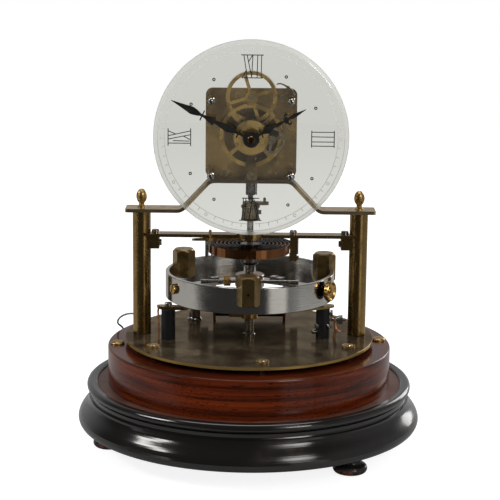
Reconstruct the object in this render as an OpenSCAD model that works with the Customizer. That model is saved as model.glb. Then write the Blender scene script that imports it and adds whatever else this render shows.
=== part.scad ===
// Electric table clock with a horizontal balance, a glass dial and an open movement.
// Millimetres, +Z up, the dial faces -Y, the origin is on the floor below the balance arbor.

/* [Base] */
// Greatest diameter of the black turned plinth
plinth_d = 228.8; // [222:0.1:250]
// Height of the plinth without its feet
plinth_h = 29.4; // [27:0.1:36]
// Height of the turned feet
foot_h = 13.3; // [9:0.1:20]
// Diameter of the turned feet
foot_d = 22; // [16:0.5:28]
// Diameter of the mahogany drum
drum_d = 188.6; // [180:0.1:192]
// Height of the drum above the groove for the dome
drum_h = 25.8; // [18:0.1:40]
// Width of the groove that a glass dome stands in
groove_w = 7.4; // [5:0.1:8]
// Depth of that groove below the plinth's rim
groove_depth = 1.8; // [1:0.1:3]
// Diameter of the hole up the middle of the plinth
plinth_hole_d = 140; // [80:1:160]

/* [Base plate] */
// Diameter of the brass base plate
plate_d = 165.4; // [162:0.1:170]
// Thickness of the base plate
plate_t = 2.2; // [1.6:0.1:4]
// Gap that the levelling screws keep under the plate
plate_gap = 3; // [1.5:0.1:6]
// Diameter of a levelling screw's milled head
level_head_d = 8.8; // [7:0.1:10]
// Diameter of a levelling screw's thread
level_screw_d = 3; // [2:0.1:4]

/* [Frame] */
// Distance between the axes of the two pillars
pillar_span = 144; // [143:0.5:148]
// Diameter of the pillars
pillar_d = 12; // [9:0.1:12]
// Height of the pillars above the plate
pillar_h = 83.1; // [83:0.1:95]
// Overall length of the bent frame bar
bar_len = 165; // [162:0.5:175]
// Thickness of the frame bar
bar_t = 2.3; // [1.6:0.1:3]
// Depth of the frame bar from front to back
bar_depth = 17; // [17:0.1:22]
// Rise of the middle of the bar above its ends
bar_rise = 20.3; // [20:0.1:26]
// Width of the flat middle of the bar
bar_top_w = 52; // [48:0.5:60]
// Width between the two lower bends
bar_shoulder_w = 90; // [80:0.5:100]
// Height of the lower crossbar's underside above the plate
crossbar_h = 66.8; // [66.8:0.1:70]
// Thickness of the lower crossbar
crossbar_t = 2.1; // [1.6:0.1:3]
// Depth of the lower crossbar
crossbar_depth = 10; // [8:0.1:10]

/* [Balance] */
// Outside diameter of the balance rim
balance_d = 112; // [104:0.5:112]
// Wall of the balance rim
rim_wall = 2.4; // [1.8:0.1:3]
// Height of the balance rim
rim_h = 17; // [14:0.1:17]
// Height of the rim's lower edge above the plate
rim_lift = 27.1; // [27:0.1:29]
// Width of a spoke
spoke_w = 8; // [6:0.1:9]
// Thickness of a spoke
spoke_t = 2; // [1.2:0.1:3]
// Width of a hexagonal rim weight across its flats
weight_af = 13.5; // [10:0.1:14]
// Height of a rim weight
weight_h = 19.4; // [16:0.1:20]
// Angle of each rim weight from the front, clockwise from above is negative
weight_angles = [-0.7, 113, -124.5];
// Diameter of the arbor through the wheel
arbor_d = 6; // [5:0.1:7]
// Outer radius of the flat balance spring
spring_r = 28.6; // [27:0.1:29]
// Step of the spring from one turn to the next
spring_pitch = 2.6; // [2:0.05:2.6]
// Number of turns of the spring
spring_turns = 8.35; // [6:0.05:8.35]
// Height of the spring strip
spring_h = 5.8; // [4:0.1:6.2]
// Thickness of the spring strip
spring_t = 0.5; // [0.3:0.05:0.8]

/* [Movement] */
// Diameter of the glass dial
dial_d = 127; // [115:0.5:135]
// Thickness of the glass dial
dial_t = 3; // [2:0.1:4]
// Width of the square movement plate
move_w = 60; // [58:0.5:66]
// Height of the square movement plate
move_h = 58.8; // [58:0.1:64]
// Thickness of the movement plate
move_t = 2.2; // [1.6:0.1:2.2]
// Height of the hands' axis above the frame bar
hand_lift = 28.1; // [28:0.1:31]
// Length of the minute hand
minute_len = 57.1; // [50:0.5:60]
// Length of the hour hand
hour_len = 40; // [36:0.5:44]
// Angle of the minute hand, clockwise from twelve
minute_angle = 295.8; // [0:0.1:360]
// Angle of the hour hand, clockwise from twelve
hour_angle = 60.9; // [0:0.1:360]
// Teeth of the centre wheel
centre_teeth = 140;
// Teeth of the pinion under the count wheel
count_pinion_teeth = 28;
// Teeth of the ratchet-cut count wheel
count_teeth = 120;
// Radius of the count wheel
count_r = 17.3; // [15:0.1:17.3]

/* [Hidden] */
$fn = 64;

// Clearances: running fits, fixed fits, and the least gap between moving neighbours
run_fit = 0.05;
seat_fit = 0.03;
air = 0.3;
cut = 1;

// Heights that follow from the driving sizes
plinth_r = plinth_d / 2;
rim_z = foot_h + plinth_h;
groove_z = rim_z - groove_depth;
flange_t = 1.2;
seat_z = groove_z - flange_t;
drum_r = drum_d / 2;
groove_r = drum_r + groove_w;
drum_z = groove_z + drum_h;
plate_z = drum_z + plate_gap;
top_z = plate_z + plate_t;
bar_z = top_z + pillar_h;
bar_top_z = bar_z + bar_rise + bar_t;
cross_z = top_z + crossbar_h;
hand_z = bar_top_z + hand_lift;

// Colours
brass = "#b08d4a";
steel = "#9a9894";
blue_steel = "#2b2623";
ebony = "#161514";

// Shapes along the other axes, and arcs
module rod_y(x, z, y0, y1, r) { translate([x, y1, z]) rotate([90, 0, 0]) cylinder(h = y1 - y0, r = r); }
module rod_x(y, z, x0, x1, r) { translate([x0, y, z]) rotate([0, 90, 0]) cylinder(h = x1 - x0, r = r); }
module slab_y(y0, y1) { translate([0, y1, 0]) rotate([90, 0, 0]) linear_extrude(y1 - y0) children(); }
module slab_x(x0, x1) { translate([x0, 0, 0]) rotate([90, 0, 90]) linear_extrude(x1 - x0) children(); }
function arc(c, r, a0, a1, n) = [for (i = [0:n]) c + r * [cos(a0 + (a1 - a0) * i / n), sin(a0 + (a1 - a0)
    * i / n)]];
function front_dir(a) = [sin(a), -cos(a)];

// A turned form from its radius and height points
module turned(points) { rotate_extrude() polygon(points); }

// A cheese-head screw with its slot, head down on z = 0
module cheese_screw(head_r, head_h, stem_r, stem_l, turn = 20) {
  slot_w = head_r * 0.32;
  difference() {
    union() {
      turned(concat([[0, 0], [head_r, 0]], arc([head_r - head_h * 0.25, head_h * 0.75], head_h * 0.25, 0,
          90, 4),
        [[0, head_h]]));
      if (stem_l > 0) translate([0, 0, -stem_l]) cylinder(h = stem_l, r = stem_r);
    }
    rotate(turn) translate([-head_r - cut, -slot_w / 2, head_h * 0.55]) cube([2 * head_r + 2 * cut, slot_w,
        head_h]);
  }
}

// A closed tube swept along points; each ring's frame is carried on from the one before it
function unit(v) = v / norm(v);
function tangent(p, i) = unit(p[min(i + 1, len(p) - 1)] - p[max(i - 1, 0)]);
function frames(p, i, u) = i == len(p) ? [] :
  let (t = tangent(p, i), v = unit(u - (u * t) * t))
  concat([[v, cross(t, v)]], frames(p, i + 1, v));
module tube(p, r, sides = 8) {
  n = len(p);
  start = abs(tangent(p, 0)[2]) > 0.9 ? [0, 1, 0] : [0, 0, 1];
  ring_frames = frames(p, 0, start);
  rings = [for (i = [0:n - 1], k = [0:sides - 1])
    p[i] + r * (cos(360 * k / sides) * ring_frames[i][0] + sin(360 * k / sides) * ring_frames[i][1])];
  walls = [for (i = [0:n - 2], k = [0:sides - 1])
    let (a = i * sides + k, b = i * sides + (k + 1) % sides)
    each [[a, a + sides, b], [b, a + sides, b + sides]]];
  ends = [[for (k = [0:sides - 1]) k], [for (k = [sides - 1:-1:0]) (n - 1) * sides + k]];
  polyhedron(points = rings, faces = concat(walls, ends), convexity = 6);
}

// Toothed wheels are drawn flat, with a tooth on the X axis
function wheel_outline(n, m, add = 0.85, ded = 1.15) =
  let (r = n * m / 2, p = 360 / n)
  [for (i = [0:n - 1]) for (q = [[-0.31, -ded], [-0.1, add], [0.1, add], [0.31, -ded]])
    let (a = (i + q[0]) * p, rr = r + q[1] * m) [rr * cos(a), rr * sin(a)]];
module tooth_wheel(n, m) { polygon(wheel_outline(n, m)); }
module crossings(r_in, r_out, arms, arm_w, turn) {
  difference() {
    circle(r = r_out);
    circle(r = r_in);
    for (k = [0:arms - 1]) rotate(turn + k * 360 / arms) translate([0, -arm_w / 2]) square([r_out + cut,
        arm_w]);
  }
}

// Plinth: a turned ring with a rounded rim, a fillet and a quirk below it, and a full swelling at the foot
rim_bead_r = 2.9;
rim_width = 6.7;
swell_z = foot_h + 5.2;
function curve(a, b, c, d, n) = [for (i = [1:n]) let (t = i / n, q = 1 - t)
  q * q * q * a + 3 * q * q * t * b + 3 * q * t * t * c + t * t * t * d];
plinth_points = concat(
  [[plinth_hole_d / 2, foot_h], [plinth_r - 4, foot_h]],
  curve([plinth_r - 4, foot_h], [plinth_r - 1.6, foot_h + 0.6], [plinth_r, swell_z - 2.9], [plinth_r,
      swell_z], 6),
  curve([plinth_r, swell_z], [plinth_r - 1, swell_z + 6.5], [plinth_r - 6.8, swell_z + 8.5],
    [plinth_r - 7.2, rim_z - 10.1], 12),
  [[plinth_r - 8.6, rim_z - 9.7], [plinth_r - 8.9, rim_z - 9], [plinth_r - 8.3, rim_z - 8.6],
    [plinth_r - 8.1, rim_z - 6.4], [plinth_r - 9.4, rim_z - 6]],
  arc([groove_r + rim_width - rim_bead_r, rim_z - rim_bead_r], rim_bead_r, -60, 90, 12),
  [[groove_r + 0.9, rim_z - 0.25], [groove_r, rim_z - 0.9], [groove_r, seat_z], [plinth_hole_d / 2, seat_z]]);
module plinth() color(ebony) difference() {
  turned(plinth_points);
  lead_hole();
}

// Three turned feet: a thick rounded lip below a narrow neck
foot_angles = [43.5, 163.5, -76.5];
foot_ring_r = plinth_r - 19.9;
lip_r = foot_h * 0.225;
module bun_feet() color("#1c1210") for (a = foot_angles)
  translate(foot_ring_r * [front_dir(a)[0], front_dir(a)[1], 0])
    turned(concat([[0, 0], [foot_d * 0.36, 0]], arc([foot_d / 2 - lip_r, lip_r * 1.03], lip_r, -80, 75, 10),
      [[foot_d * 0.34, foot_h * 0.52], [foot_d * 0.32, foot_h * 0.62], [foot_d * 0.335, foot_h * 0.76],
        [foot_d * 0.39, foot_h * 0.91], [foot_d * 0.43, foot_h], [0, foot_h]]));

// Mahogany drum, and the disc below it that is the groove's floor
drum_edge = 1.2;
module mahogany_drum() color("#6a2a14")
  turned(concat([[0, groove_z], [drum_r, groove_z]], arc([drum_r - drum_edge, drum_z - drum_edge],
      drum_edge, 0, 90, 5),
    [[0, drum_z]]));
module drum_disc() color("#4a1f10") difference() {
  translate([0, 0, seat_z]) cylinder(h = flange_t, r = groove_r - seat_fit);
  lead_hole();
}

// Domed brass studs at both sides of the drum's top
stud_r = 4.7;
stud_at = drum_r - 6.8;
module drum_studs() color(brass) for (s = [-1, 1]) translate([s * stud_at, s * 8.2, drum_z])
  turned(concat([[0, 0], [stud_r, 0], [stud_r, 0.4]],
    [for (i = [1:8]) [stud_r * cos(90 * i / 8), 0.4 + 2 * sin(90 * i / 8)]]));

// Base plate
level_angles = [6.7, -60, 64.5, 180];
level_ring_r = plate_d / 2 - 10.9;
level_names = ["front", "left", "right", "back"];
function level_at(i) = level_ring_r * front_dir(level_angles[i]);
pillar_y = 3;
pillar_x = pillar_span / 2;
pillar_r = pillar_d / 2;
spigot_r = 3;
foot_spigot_r = 2.5;
module base_plate() color("#8d7f63") difference() {
  turned([[0, plate_z], [plate_d / 2 - 0.3, plate_z], [plate_d / 2, plate_z + 0.3], [plate_d / 2,
      top_z - 0.3],
    [plate_d / 2 - 0.3, top_z], [0, top_z]]);
  for (i = [0:3]) translate([level_at(i)[0], level_at(i)[1], plate_z - cut])
    cylinder(h = plate_t + 2 * cut, r = level_screw_d / 2 + run_fit);
  for (s = [-1, 1]) translate([s * pillar_x, pillar_y, plate_z - cut]) cylinder(h = plate_t + 2 * cut,
      r = spigot_r + seat_fit);
  translate([0, 0, plate_z - cut]) cylinder(h = plate_t + 2 * cut, r = foot_spigot_r + seat_fit);
}

// Levelling screws: milled heads with a domed middle, standing on the drum
level_head_h = 1.4;
level_notches = 14;
module levelling_screw(i) color(brass) translate([level_at(i)[0], level_at(i)[1], 0]) difference() {
  union() {
    translate([0, 0, top_z + 0.1]) cylinder(h = level_head_h, r = level_head_d / 2);
    translate([0, 0, top_z + 0.1 + level_head_h])
      turned([[0, 0], [level_head_d * 0.3, 0], [level_head_d * 0.28, 0.45], [level_head_d * 0.18, 0.7], [0,
          0.8]]);
    translate([0, 0, drum_z + 0.1]) cylinder(h = plate_gap + plate_t + 0.2, r = level_screw_d / 2);
  }
  for (k = [0:level_notches - 1]) rotate(k * 360 / level_notches)
    translate([level_head_d / 2, 0, top_z + 0.4]) rotate(45) translate([-0.45, -0.45, 0]) cube([0.9, 0.9,
        level_head_h + cut]);
  translate([-level_head_d / 2, -0.4, top_z + level_head_h + 0.55]) cube([level_head_d, 0.8, 2]);
}

// Pillars with a spigot in the plate and a threaded hole for the finial
finial_stem_r = 1.5;
finial_stem_l = 8;
module pillars() color(brass) for (s = [-1, 1]) translate([s * pillar_x, pillar_y, 0]) difference() {
  union() {
    translate([0, 0, plate_z]) cylinder(h = plate_t, r = spigot_r);
    translate([0, 0, top_z]) turned([[0, 0], [pillar_r - 0.3, 0], [pillar_r, 0.3], [pillar_r, pillar_h - 0.3],
      [pillar_r - 0.3, pillar_h], [0, pillar_h]]);
  }
  translate([0, 0, bar_z - finial_stem_l]) cylinder(h = finial_stem_l + cut, r = finial_stem_r + seat_fit);
}

// Frame bar: a flat brass strip, bent up to a raised middle
bar_y0 = pillar_y - bar_depth / 2;
bar_y1 = pillar_y + bar_depth / 2;
bend_r = 6;
function rounded_box(w, d, r) = concat(arc([w / 2 - r, d / 2 - r], r, 0, 90, 4),
  arc([r - w / 2, d / 2 - r], r, 90, 180, 4), arc([r - w / 2, r - d / 2], r, 180, 270, 4),
  arc([w / 2 - r, r - d / 2], r, 270, 360, 4));
function bent(a, b, c, r, n = 5) =
  let (u = unit(a - b), v = unit(c - b), half = acos(u * v) / 2, d = r / tan(half), o = b + unit(u + v)
      * r / sin(half),
    p = b + u * d, a0 = atan2(p[1] - o[1], p[0] - o[0]), q = b + v * d, a1 = atan2(q[1] - o[1], q[0] - o[0]),
    da = (a1 - a0 + 540) % 360 - 180)
  [for (i = [0:n]) o + r * [cos(a0 + da * i / n), sin(a0 + da * i / n)]];
bar_corners = [[bar_len / 2, 0], [bar_shoulder_w / 2, 0], [bar_top_w / 2, bar_rise], [-bar_top_w / 2,
    bar_rise],
  [-bar_shoulder_w / 2, 0], [-bar_len / 2, 0]];
slope = atan2(bar_rise, (bar_shoulder_w - bar_top_w) / 2);
function above(p, s) = p + [0, bar_t] + [s * bar_t * tan(slope / 2), 0];
outer_bend_r = bend_r + bar_t;
bar_under = concat([bar_corners[0]],
  bent(bar_corners[0], bar_corners[1], bar_corners[2], outer_bend_r),
  bent(bar_corners[1], bar_corners[2], bar_corners[3], bend_r),
  bent(bar_corners[2], bar_corners[3], bar_corners[4], bend_r),
  bent(bar_corners[3], bar_corners[4], bar_corners[5], outer_bend_r), [bar_corners[5]]);
upper_corners = [bar_corners[0] + [0, bar_t], above(bar_corners[1], 1), above(bar_corners[2], 1),
  above(bar_corners[3], -1), above(bar_corners[4], -1), bar_corners[5] + [0, bar_t]];
bar_over = concat([upper_corners[5]],
  bent(upper_corners[5], upper_corners[4], upper_corners[3], bend_r),
  bent(upper_corners[4], upper_corners[3], upper_corners[2], outer_bend_r),
  bent(upper_corners[3], upper_corners[2], upper_corners[1], outer_bend_r),
  bent(upper_corners[2], upper_corners[1], upper_corners[0], bend_r), [upper_corners[0]]);
bearing_r = 1.5;
module frame_bar() color(brass) difference() {
  intersection() {
    slab_y(bar_y0, bar_y1) translate([0, bar_z]) polygon(concat(bar_under, bar_over));
    translate([0, pillar_y, bar_z - cut]) linear_extrude(bar_rise + bar_t + 2 * cut)
      polygon(rounded_box(bar_len, bar_depth, 1.3));
  }
  for (s = [-1, 1]) translate([s * pillar_x, pillar_y, bar_z - cut]) cylinder(h = bar_t + 2 * cut,
      r = finial_stem_r + seat_fit);
  translate([0, 0, bar_top_z - bar_t - cut]) cylinder(h = bar_t + 2 * cut, r = bearing_r + seat_fit);
}

// Ovoid finials that screw down through the bar into the pillars
module finials() color(brass) for (s = [-1, 1]) translate([s * pillar_x, pillar_y, bar_z + bar_t]) {
  turned(concat([[0, 0], [2.8, 0], [2.7, 0.6], [1.9, 1.2], [1.75, 2.5]],
    [for (i = [0:10]) [3.55 * cos(-58 + 14.8 * i), 7.4 + 5 * sin(-58 + 14.8 * i)]]));
  translate([0, 0, -bar_t - finial_stem_l + 0.3]) cylinder(h = bar_t + finial_stem_l, r = finial_stem_r);
}

// Lower crossbar: a flat bar with the arbor's middle bush, and the spigot that the index turns on
boss_r = 9.3;
staff_r = 2.1;
index_seat_r = 5.5;
index_lip_r = 6.4;
index_t = 1.4;
lug_x = pillar_x - pillar_r - 3.2;
lug_h = 8.5;
screw_r = 1.2;
module crossbar_hole(x, y) { translate([x, y, cross_z - cut]) cylinder(h = crossbar_t + 2 * cut,
    r = screw_r + seat_fit); }
module lower_crossbar() color(brass) difference() {
  union() {
    translate([-pillar_x, -crossbar_depth / 2, cross_z]) cube([2 * pillar_x, crossbar_depth, crossbar_t]);
    translate([0, 0, cross_z]) cylinder(h = crossbar_t + 0.6, r = boss_r);
    translate([0, 0, cross_z - index_t - 2 * run_fit]) cylinder(h = index_t + 2 * run_fit, r = index_seat_r);
    translate([0, 0, cross_z - index_t - 2 * run_fit - 0.9]) cylinder(h = 0.9, r = index_lip_r);
  }
  translate([0, 0, cross_z - index_t - 3]) cylinder(h = 10, r = staff_r + run_fit);
  for (s = [-1, 1]) translate([s * pillar_x, pillar_y, cross_z - cut]) cylinder(h = crossbar_t + 2 * cut,
      r = pillar_r + 0.4);
  for (s = [-1, 1]) translate([s * pillar_x - 2 * pillar_r + s * (pillar_r + 3.2), -crossbar_depth,
      cross_z - cut])
    cube([4 * pillar_r, 2 * crossbar_depth, crossbar_t + 2 * cut]);
  for (s = [-1, 1]) crossbar_hole(s * lug_x, pillar_y - 1);
  crossbar_hole(stud_x, stud_y);
}

// Lugs that carry the crossbar from the pillars
lug_side_z = cross_z - lug_h + 3.6;
module crossbar_lugs() color(brass) for (s = [-1, 1]) difference() {
  translate([min(s * (lug_x - 2.5), s * (pillar_x - pillar_r + 2.5)), pillar_y - 4.5, cross_z - lug_h])
    cube([pillar_r - pillar_r + 8.2, 9, lug_h]);
  translate([s * pillar_x, pillar_y, cross_z - lug_h - cut]) cylinder(h = lug_h + 2 * cut,
      r = pillar_r + seat_fit);
  translate([s * lug_x, pillar_y - 1, cross_z - 5]) cylinder(h = 6, r = screw_r + seat_fit);
}

// Spring stud under the crossbar: a slotted post with its slim clamp rod
stud_w = 4.2;
stud_d = 5;
stud_x = spring_r;
stud_y = -0.5;
stud_z = cross_z - 15.7;
spring_z = cross_z - 4.3 - spring_h;
module spring_stud() color("#a08a55") difference() {
  union() {
    translate([stud_x - stud_w / 2, stud_y - stud_d / 2, stud_z]) cube([stud_w, stud_d, cross_z - stud_z]);
    translate([stud_x - stud_w / 2 - 0.4, stud_y - stud_d / 2 - 0.4, stud_z]) cube([stud_w + 0.8,
        stud_d + 0.8, 4.5]);
  }
  translate([stud_x - spring_t / 2 - 0.5, stud_y + 0.9, spring_z - 0.4])
    cube([spring_t + 0.75, stud_d, spring_h + 0.8]);
  translate([stud_x, stud_y, cross_z - 2.6]) cylinder(h = 3.6, r = screw_r + seat_fit);
}

// Screws of the frame: crossbar ends, lugs, and the spring stud
module frame_screws() color("#b9b4a8") {
  for (s = [-1, 1]) translate([s * lug_x, pillar_y - 1, cross_z + crossbar_t]) cheese_screw(2.5, 1.9,
      screw_r, 5.5, 35 * s);
  for (s = [-1, 1]) translate([s * (lug_x - 2.5), pillar_y, lug_side_z]) rotate([0, -90 * s, 0])
    cheese_screw(2.1, 1.5, 0.8, 0, 70);
  translate([stud_x, stud_y, cross_z + crossbar_t]) cheese_screw(2.4, 2.7, screw_r, crossbar_t + 2.5, 80);
  translate([stud_x + stud_w / 2 + 0.72, stud_y - 1.6, stud_z + 4.6]) cylinder(h = cross_z - stud_z - 4.65,
      r = 0.7);
  translate([stud_x + stud_w / 2 + 0.42, stud_y - 1.2, stud_z + 2.2]) rotate([0, 90, 0]) cheese_screw(1.4,
      1.4, 0.6, 0, 0);
}

// Regulator index: a ring on the crossbar's spigot, a long pointer, and a pin and a thick key that hold the
// spring's outer turn between them
index_angle = 193;
index_len = 39.2;
curb_r = spring_r - spring_pitch * (index_angle - 360 * 0.0033) / 360;
index_z = cross_z - run_fit - index_t;
curb_gap = 0.55;
curb_pin_r = 0.5;
curb_key_r = 1.2;
module regulator() color("#b79a58") {
  rotate(index_angle) {
    translate([0, 0, index_z]) linear_extrude(index_t) difference() {
      union() {
        circle(r = index_seat_r + 2.9);
        polygon([[3, -4.2], [curb_r - 3, -3.2], [curb_r + 3, -2.6], [index_len - 1, -0.9], [index_len, 0],
          [index_len - 1, 0.9], [curb_r + 3, 2.6], [curb_r - 3, 3.2], [3, 4.2]]);
      }
      circle(r = index_seat_r + run_fit);
    }
    translate([curb_r - spring_t / 2 - curb_gap - curb_pin_r, 0, spring_z - 2.6])
      cylinder(h = index_z - spring_z + 2.7, r = curb_pin_r);
    translate([curb_r + spring_t / 2 + curb_gap + curb_key_r, 0, spring_z - 2.6])
      cylinder(h = index_z - spring_z + 2.7, r = curb_key_r);
    translate([curb_r - 2.6, 0.9, spring_z + spring_h + 0.25]) cube([5.2, 2,
        index_z - spring_z - spring_h - 0.2]);
    translate([curb_r, 1.2, index_z - 0.2]) cylinder(h = 1.9, r = 2.4, $fn = 6);
    translate([curb_r, 1.2, index_z]) cylinder(h = crossbar_t + 5, r = 0.95);
  }
}

// Foot bearing on the plate
foot_tube_r = 3.1;
foot_top_z = top_z + 11;
pivot_r = 1.5;
pivot_z = top_z + 3.2;
module foot_bearing() color(steel) difference() {
  translate([0, 0, top_z]) union() {
    translate([0, 0, -plate_t]) cylinder(h = plate_t, r = foot_spigot_r);
    turned([[0, 0], [foot_tube_r + 1.05, 0], [foot_tube_r + 1.05, 0.9], [foot_tube_r + 0.6, 1.5],
        [foot_tube_r, 1.8],
      [foot_tube_r, 11], [0, 11]]);
  }
  translate([0, 0, pivot_z - run_fit]) cylinder(h = 20, r = pivot_r + run_fit);
}

// Upper pivot screw through the frame bar
tip_r = 0.8;
drum_base_z = cross_z + 11.5;
arm_z = drum_base_z + 10.1;
arm_t = 2.1;
tip_z = arm_z + arm_t + 2.8;
screw_end_z = arm_z + arm_t + 1;
sleeve_r = 3.2;
sleeve_z = screw_end_z + 3.6;
sleeve_top_z = bar_top_z - bar_t;
module upper_bearing() color("#5d5c5a") difference() {
  translate([0, 0, screw_end_z]) turned([[0, 0], [1.3, 0], [1.7, 0.4], [1.7, sleeve_z - screw_end_z],
    [sleeve_r - 0.3, sleeve_z - screw_end_z], [sleeve_r, sleeve_z - screw_end_z + 0.3],
    [sleeve_r, sleeve_top_z - screw_end_z], [bearing_r, sleeve_top_z - screw_end_z],
    [bearing_r, bar_top_z - screw_end_z - 0.1], [0, bar_top_z - screw_end_z - 0.1]]);
  translate([0, 0, screw_end_z - cut]) cylinder(h = tip_z - screw_end_z + cut + 0.3, r = tip_r + run_fit);
}

// Ebonite posts that insulate the contacts
post_r = 4.6;
post_h = 20.4;
left_post = [-53.5, -13.5];
right_post = [49, -5.6];
post_top_z = top_z + post_h;
module ebonite_posts() color("#101010") difference() {
  for (p = [left_post, right_post]) translate([p[0], p[1], top_z])
    turned([[0, 0], [post_r, 0], [post_r, post_h - 0.4], [post_r - 0.4, post_h], [0, post_h]]);
  for (p = [left_post, right_post]) translate([p[0], p[1], post_top_z - 6.5]) cylinder(h = 8,
      r = screw_r + seat_fit);
  side_screw_holes();
}

// Contact lever on the left post, with the thin spring and the notched block that the toggle trails under
lever_t = 2;
block_r = 25.8;
module contact_lever() color("#a58450") difference() {
  union() {
    translate([0, 0, post_top_z]) linear_extrude(lever_t)
      translate(left_post) rotate(-9) polygon([[-8, 1.4], [-5.6, 3.3], [6.5, 3.3], [12.6, 1.2], [13.2,
          -0.6], [11.6, -2.6],
        [7, -3.5], [-4.6, -3.5], [-6.2, -0.6]]);
    translate([0, 0, post_top_z]) linear_extrude(0.5) polygon([[-44, -16.4], [-block_r * 0.97, -8.2],
        [-block_r * 0.97, -5],
      [-44, -12.6]]);
    translate([-block_r * 0.97 - 0.2, -8.2, post_top_z - 1.7]) cube([2.4 - 1.2, 3.2, 2]);
  }
  translate([left_post[0], left_post[1], post_top_z - cut]) cylinder(h = lever_t + 2 * cut,
      r = screw_r + seat_fit);
}

// Contact strip on the right post, broad and round at the back, drawn out to a narrow tip
strip_t = 1.4;
module terminal_strip() color("#a58450") difference() {
  translate([0, 0, post_top_z]) linear_extrude(strip_t) translate(right_post)
    polygon(concat(arc([4.3, 1.6], 3.2, -52, 128, 10), [[-3.2, -0.6], [-12.8, -11.2], [-12.3, -12.1], [0.5,
        -5.4]]));
  translate([right_post[0], right_post[1], post_top_z - cut]) cylinder(h = strip_t + 2 * cut,
      r = screw_r + seat_fit);
}

// Terminal rod and its nut at the right post
rod_r = 1.05;
rod_y0 = right_post[1] - 0.9;
rod_z = top_z + 12.4;
rod_end_x = right_post[0] + 15;
module terminal_rod() color(steel) rod_x(rod_y0, rod_z, right_post[0], rod_end_x, rod_r);
module terminal_nut() color("#8c8878") difference() {
  union() {
    translate([rod_end_x - 4.6, rod_y0, rod_z]) rotate([0, 90, 0]) cylinder(h = 2.6, r = 3.1, $fn = 6);
    rod_x(rod_y0, rod_z, rod_end_x - 5.6, rod_end_x - 4.6, 2.6);
  }
  rod_x(rod_y0, rod_z, rod_end_x - 7, rod_end_x + 1, rod_r + run_fit);
}

// Small screws in the posts: place, the direction that each head faces, head radius, head height, stem radius
side_screws = [
  [[right_post[0], right_post[1] - 1.6, top_z + 16.8], 0, 2.2, 1.6, 0.8],
  [[right_post[0], right_post[1], top_z + 8.9], -42, 1.9, 1.5, 0.8],
  [[right_post[0], right_post[1], top_z + 9.4], -122, 1.7, 1.4, 0.9],
  [[right_post[0], right_post[1], top_z + 4.6], -150, 1.5, 2.2, 0.8]];
side_reach = [0.3, 0.3, 3.4, 1.4];
module side_screw_holes() {
  for (q = side_screws) translate(q[0]) rotate([0, 0, q[1]]) rotate([0, 90, 0]) cylinder(h = 8,
      r = q[4] + seat_fit);
  rod_x(rod_y0, rod_z, right_post[0], right_post[0] + 8, rod_r + seat_fit);
}
module terminal_screws() color("#9c9281") {
  for (i = [0:len(side_screws) - 1]) translate(side_screws[i][0]) rotate([0, 0, side_screws[i][1]])
      rotate([0, 90, 0])
    translate([0, 0, post_r + side_reach[i]]) cheese_screw(side_screws[i][2], side_screws[i][3],
        side_screws[i][4], post_r, 30);
  translate([left_post[0], left_post[1], post_top_z + lever_t]) cheese_screw(2.5, 2.3, screw_r, 7, 15);
  translate([right_post[0], right_post[1], post_top_z + strip_t]) cheese_screw(1.9, 1, screw_r, 6, 60);
  translate([lead_at[0], lead_at[1], top_z]) turned([[0, 0], [2, 0], [2, 1.6], [1.5, 2], [0, 2]]);
}

// Bare hook-up wires: one down to the plate at the left, a loop and tail on the rod at the right
wire_r = 0.65;
left_wire = [[-60, -12, 92.25], [-60.3, -12.4, 91], [-60.2, -13.6, 89.4], [-60, -15, 86.6], [-59.8, -15.9,
    83],
  [-59.7, -16.1, 78], [-59.7, -16.2, 71.95]];
right_wire = [[57, -6.6, 82.5], [57.3, -7.3, 80.6], [57.7, -8, 78.4], [57.4, -7.8, 76.6], [56.9, -7.5,
    74.6], [56.7, -7.4, 71.95]];
tail_wire = [[57.6, -8, 78.6], [58.8, -8, 77.4], [61, -8, 76.6], [62.4, -8, 76.8], [63.2, -8, 77.8]];
base_shift = top_z - 71.9;
module hookup_wires() color("#5b3320") translate([0, 0, base_shift]) {
  tube(left_wire, wire_r);
  tube(right_wire, wire_r * 1.5);
  tube(tail_wire, wire_r * 0.8);
  translate([right_post[0] + 8, rod_y0, rod_z - base_shift]) rotate([0, 90, 0]) rotate_extrude()
    translate([rod_r + wire_r + 0.1, 0]) circle(r = wire_r, $fn = 16);
}

// Lead wire: from its terminal on the plate, in a free loop over the drum's edge, down into the groove
lead_r = 0.65;
lead_at = [-74.8, 24];
lead_hole_at = [-86.5, 45.9];
lead_points = [[-74.8, 24, 73.9], [-75, 24, 75.6], [-75.8, 24, 77.4], [-77.6, 24.2, 78.9], [-80.4, 24.6,
    79.5],
  [-83.4, 25.2, 79.1], [-86.4, 26, 77.9], [-88.8, 27.3, 76.1], [-90.4, 29.2, 73.8], [-91, 31.8, 71.4],
      [-90.7, 34.6, 69.4],
  [-89.8, 37.6, 67.8], [-88.8, 40.2, 66.2], [-87.9, 42.6, 64], [-87.2, 44.3, 60.6], [-86.8, 45.2, 56],
      [-86.6, 45.7, 50.5],
  [-86.5, 45.9, 45], [-86.5, 45.9, 38], [-86.5, 45.9, 32]];
module lead_hole() { translate([lead_hole_at[0], lead_hole_at[1], groove_z - 10]) cylinder(h = 11,
    r = lead_r + 0.15); }
module lead_wire() color("#4a4a4c") translate([0, 0, base_shift]) tube(lead_points, lead_r);

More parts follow.
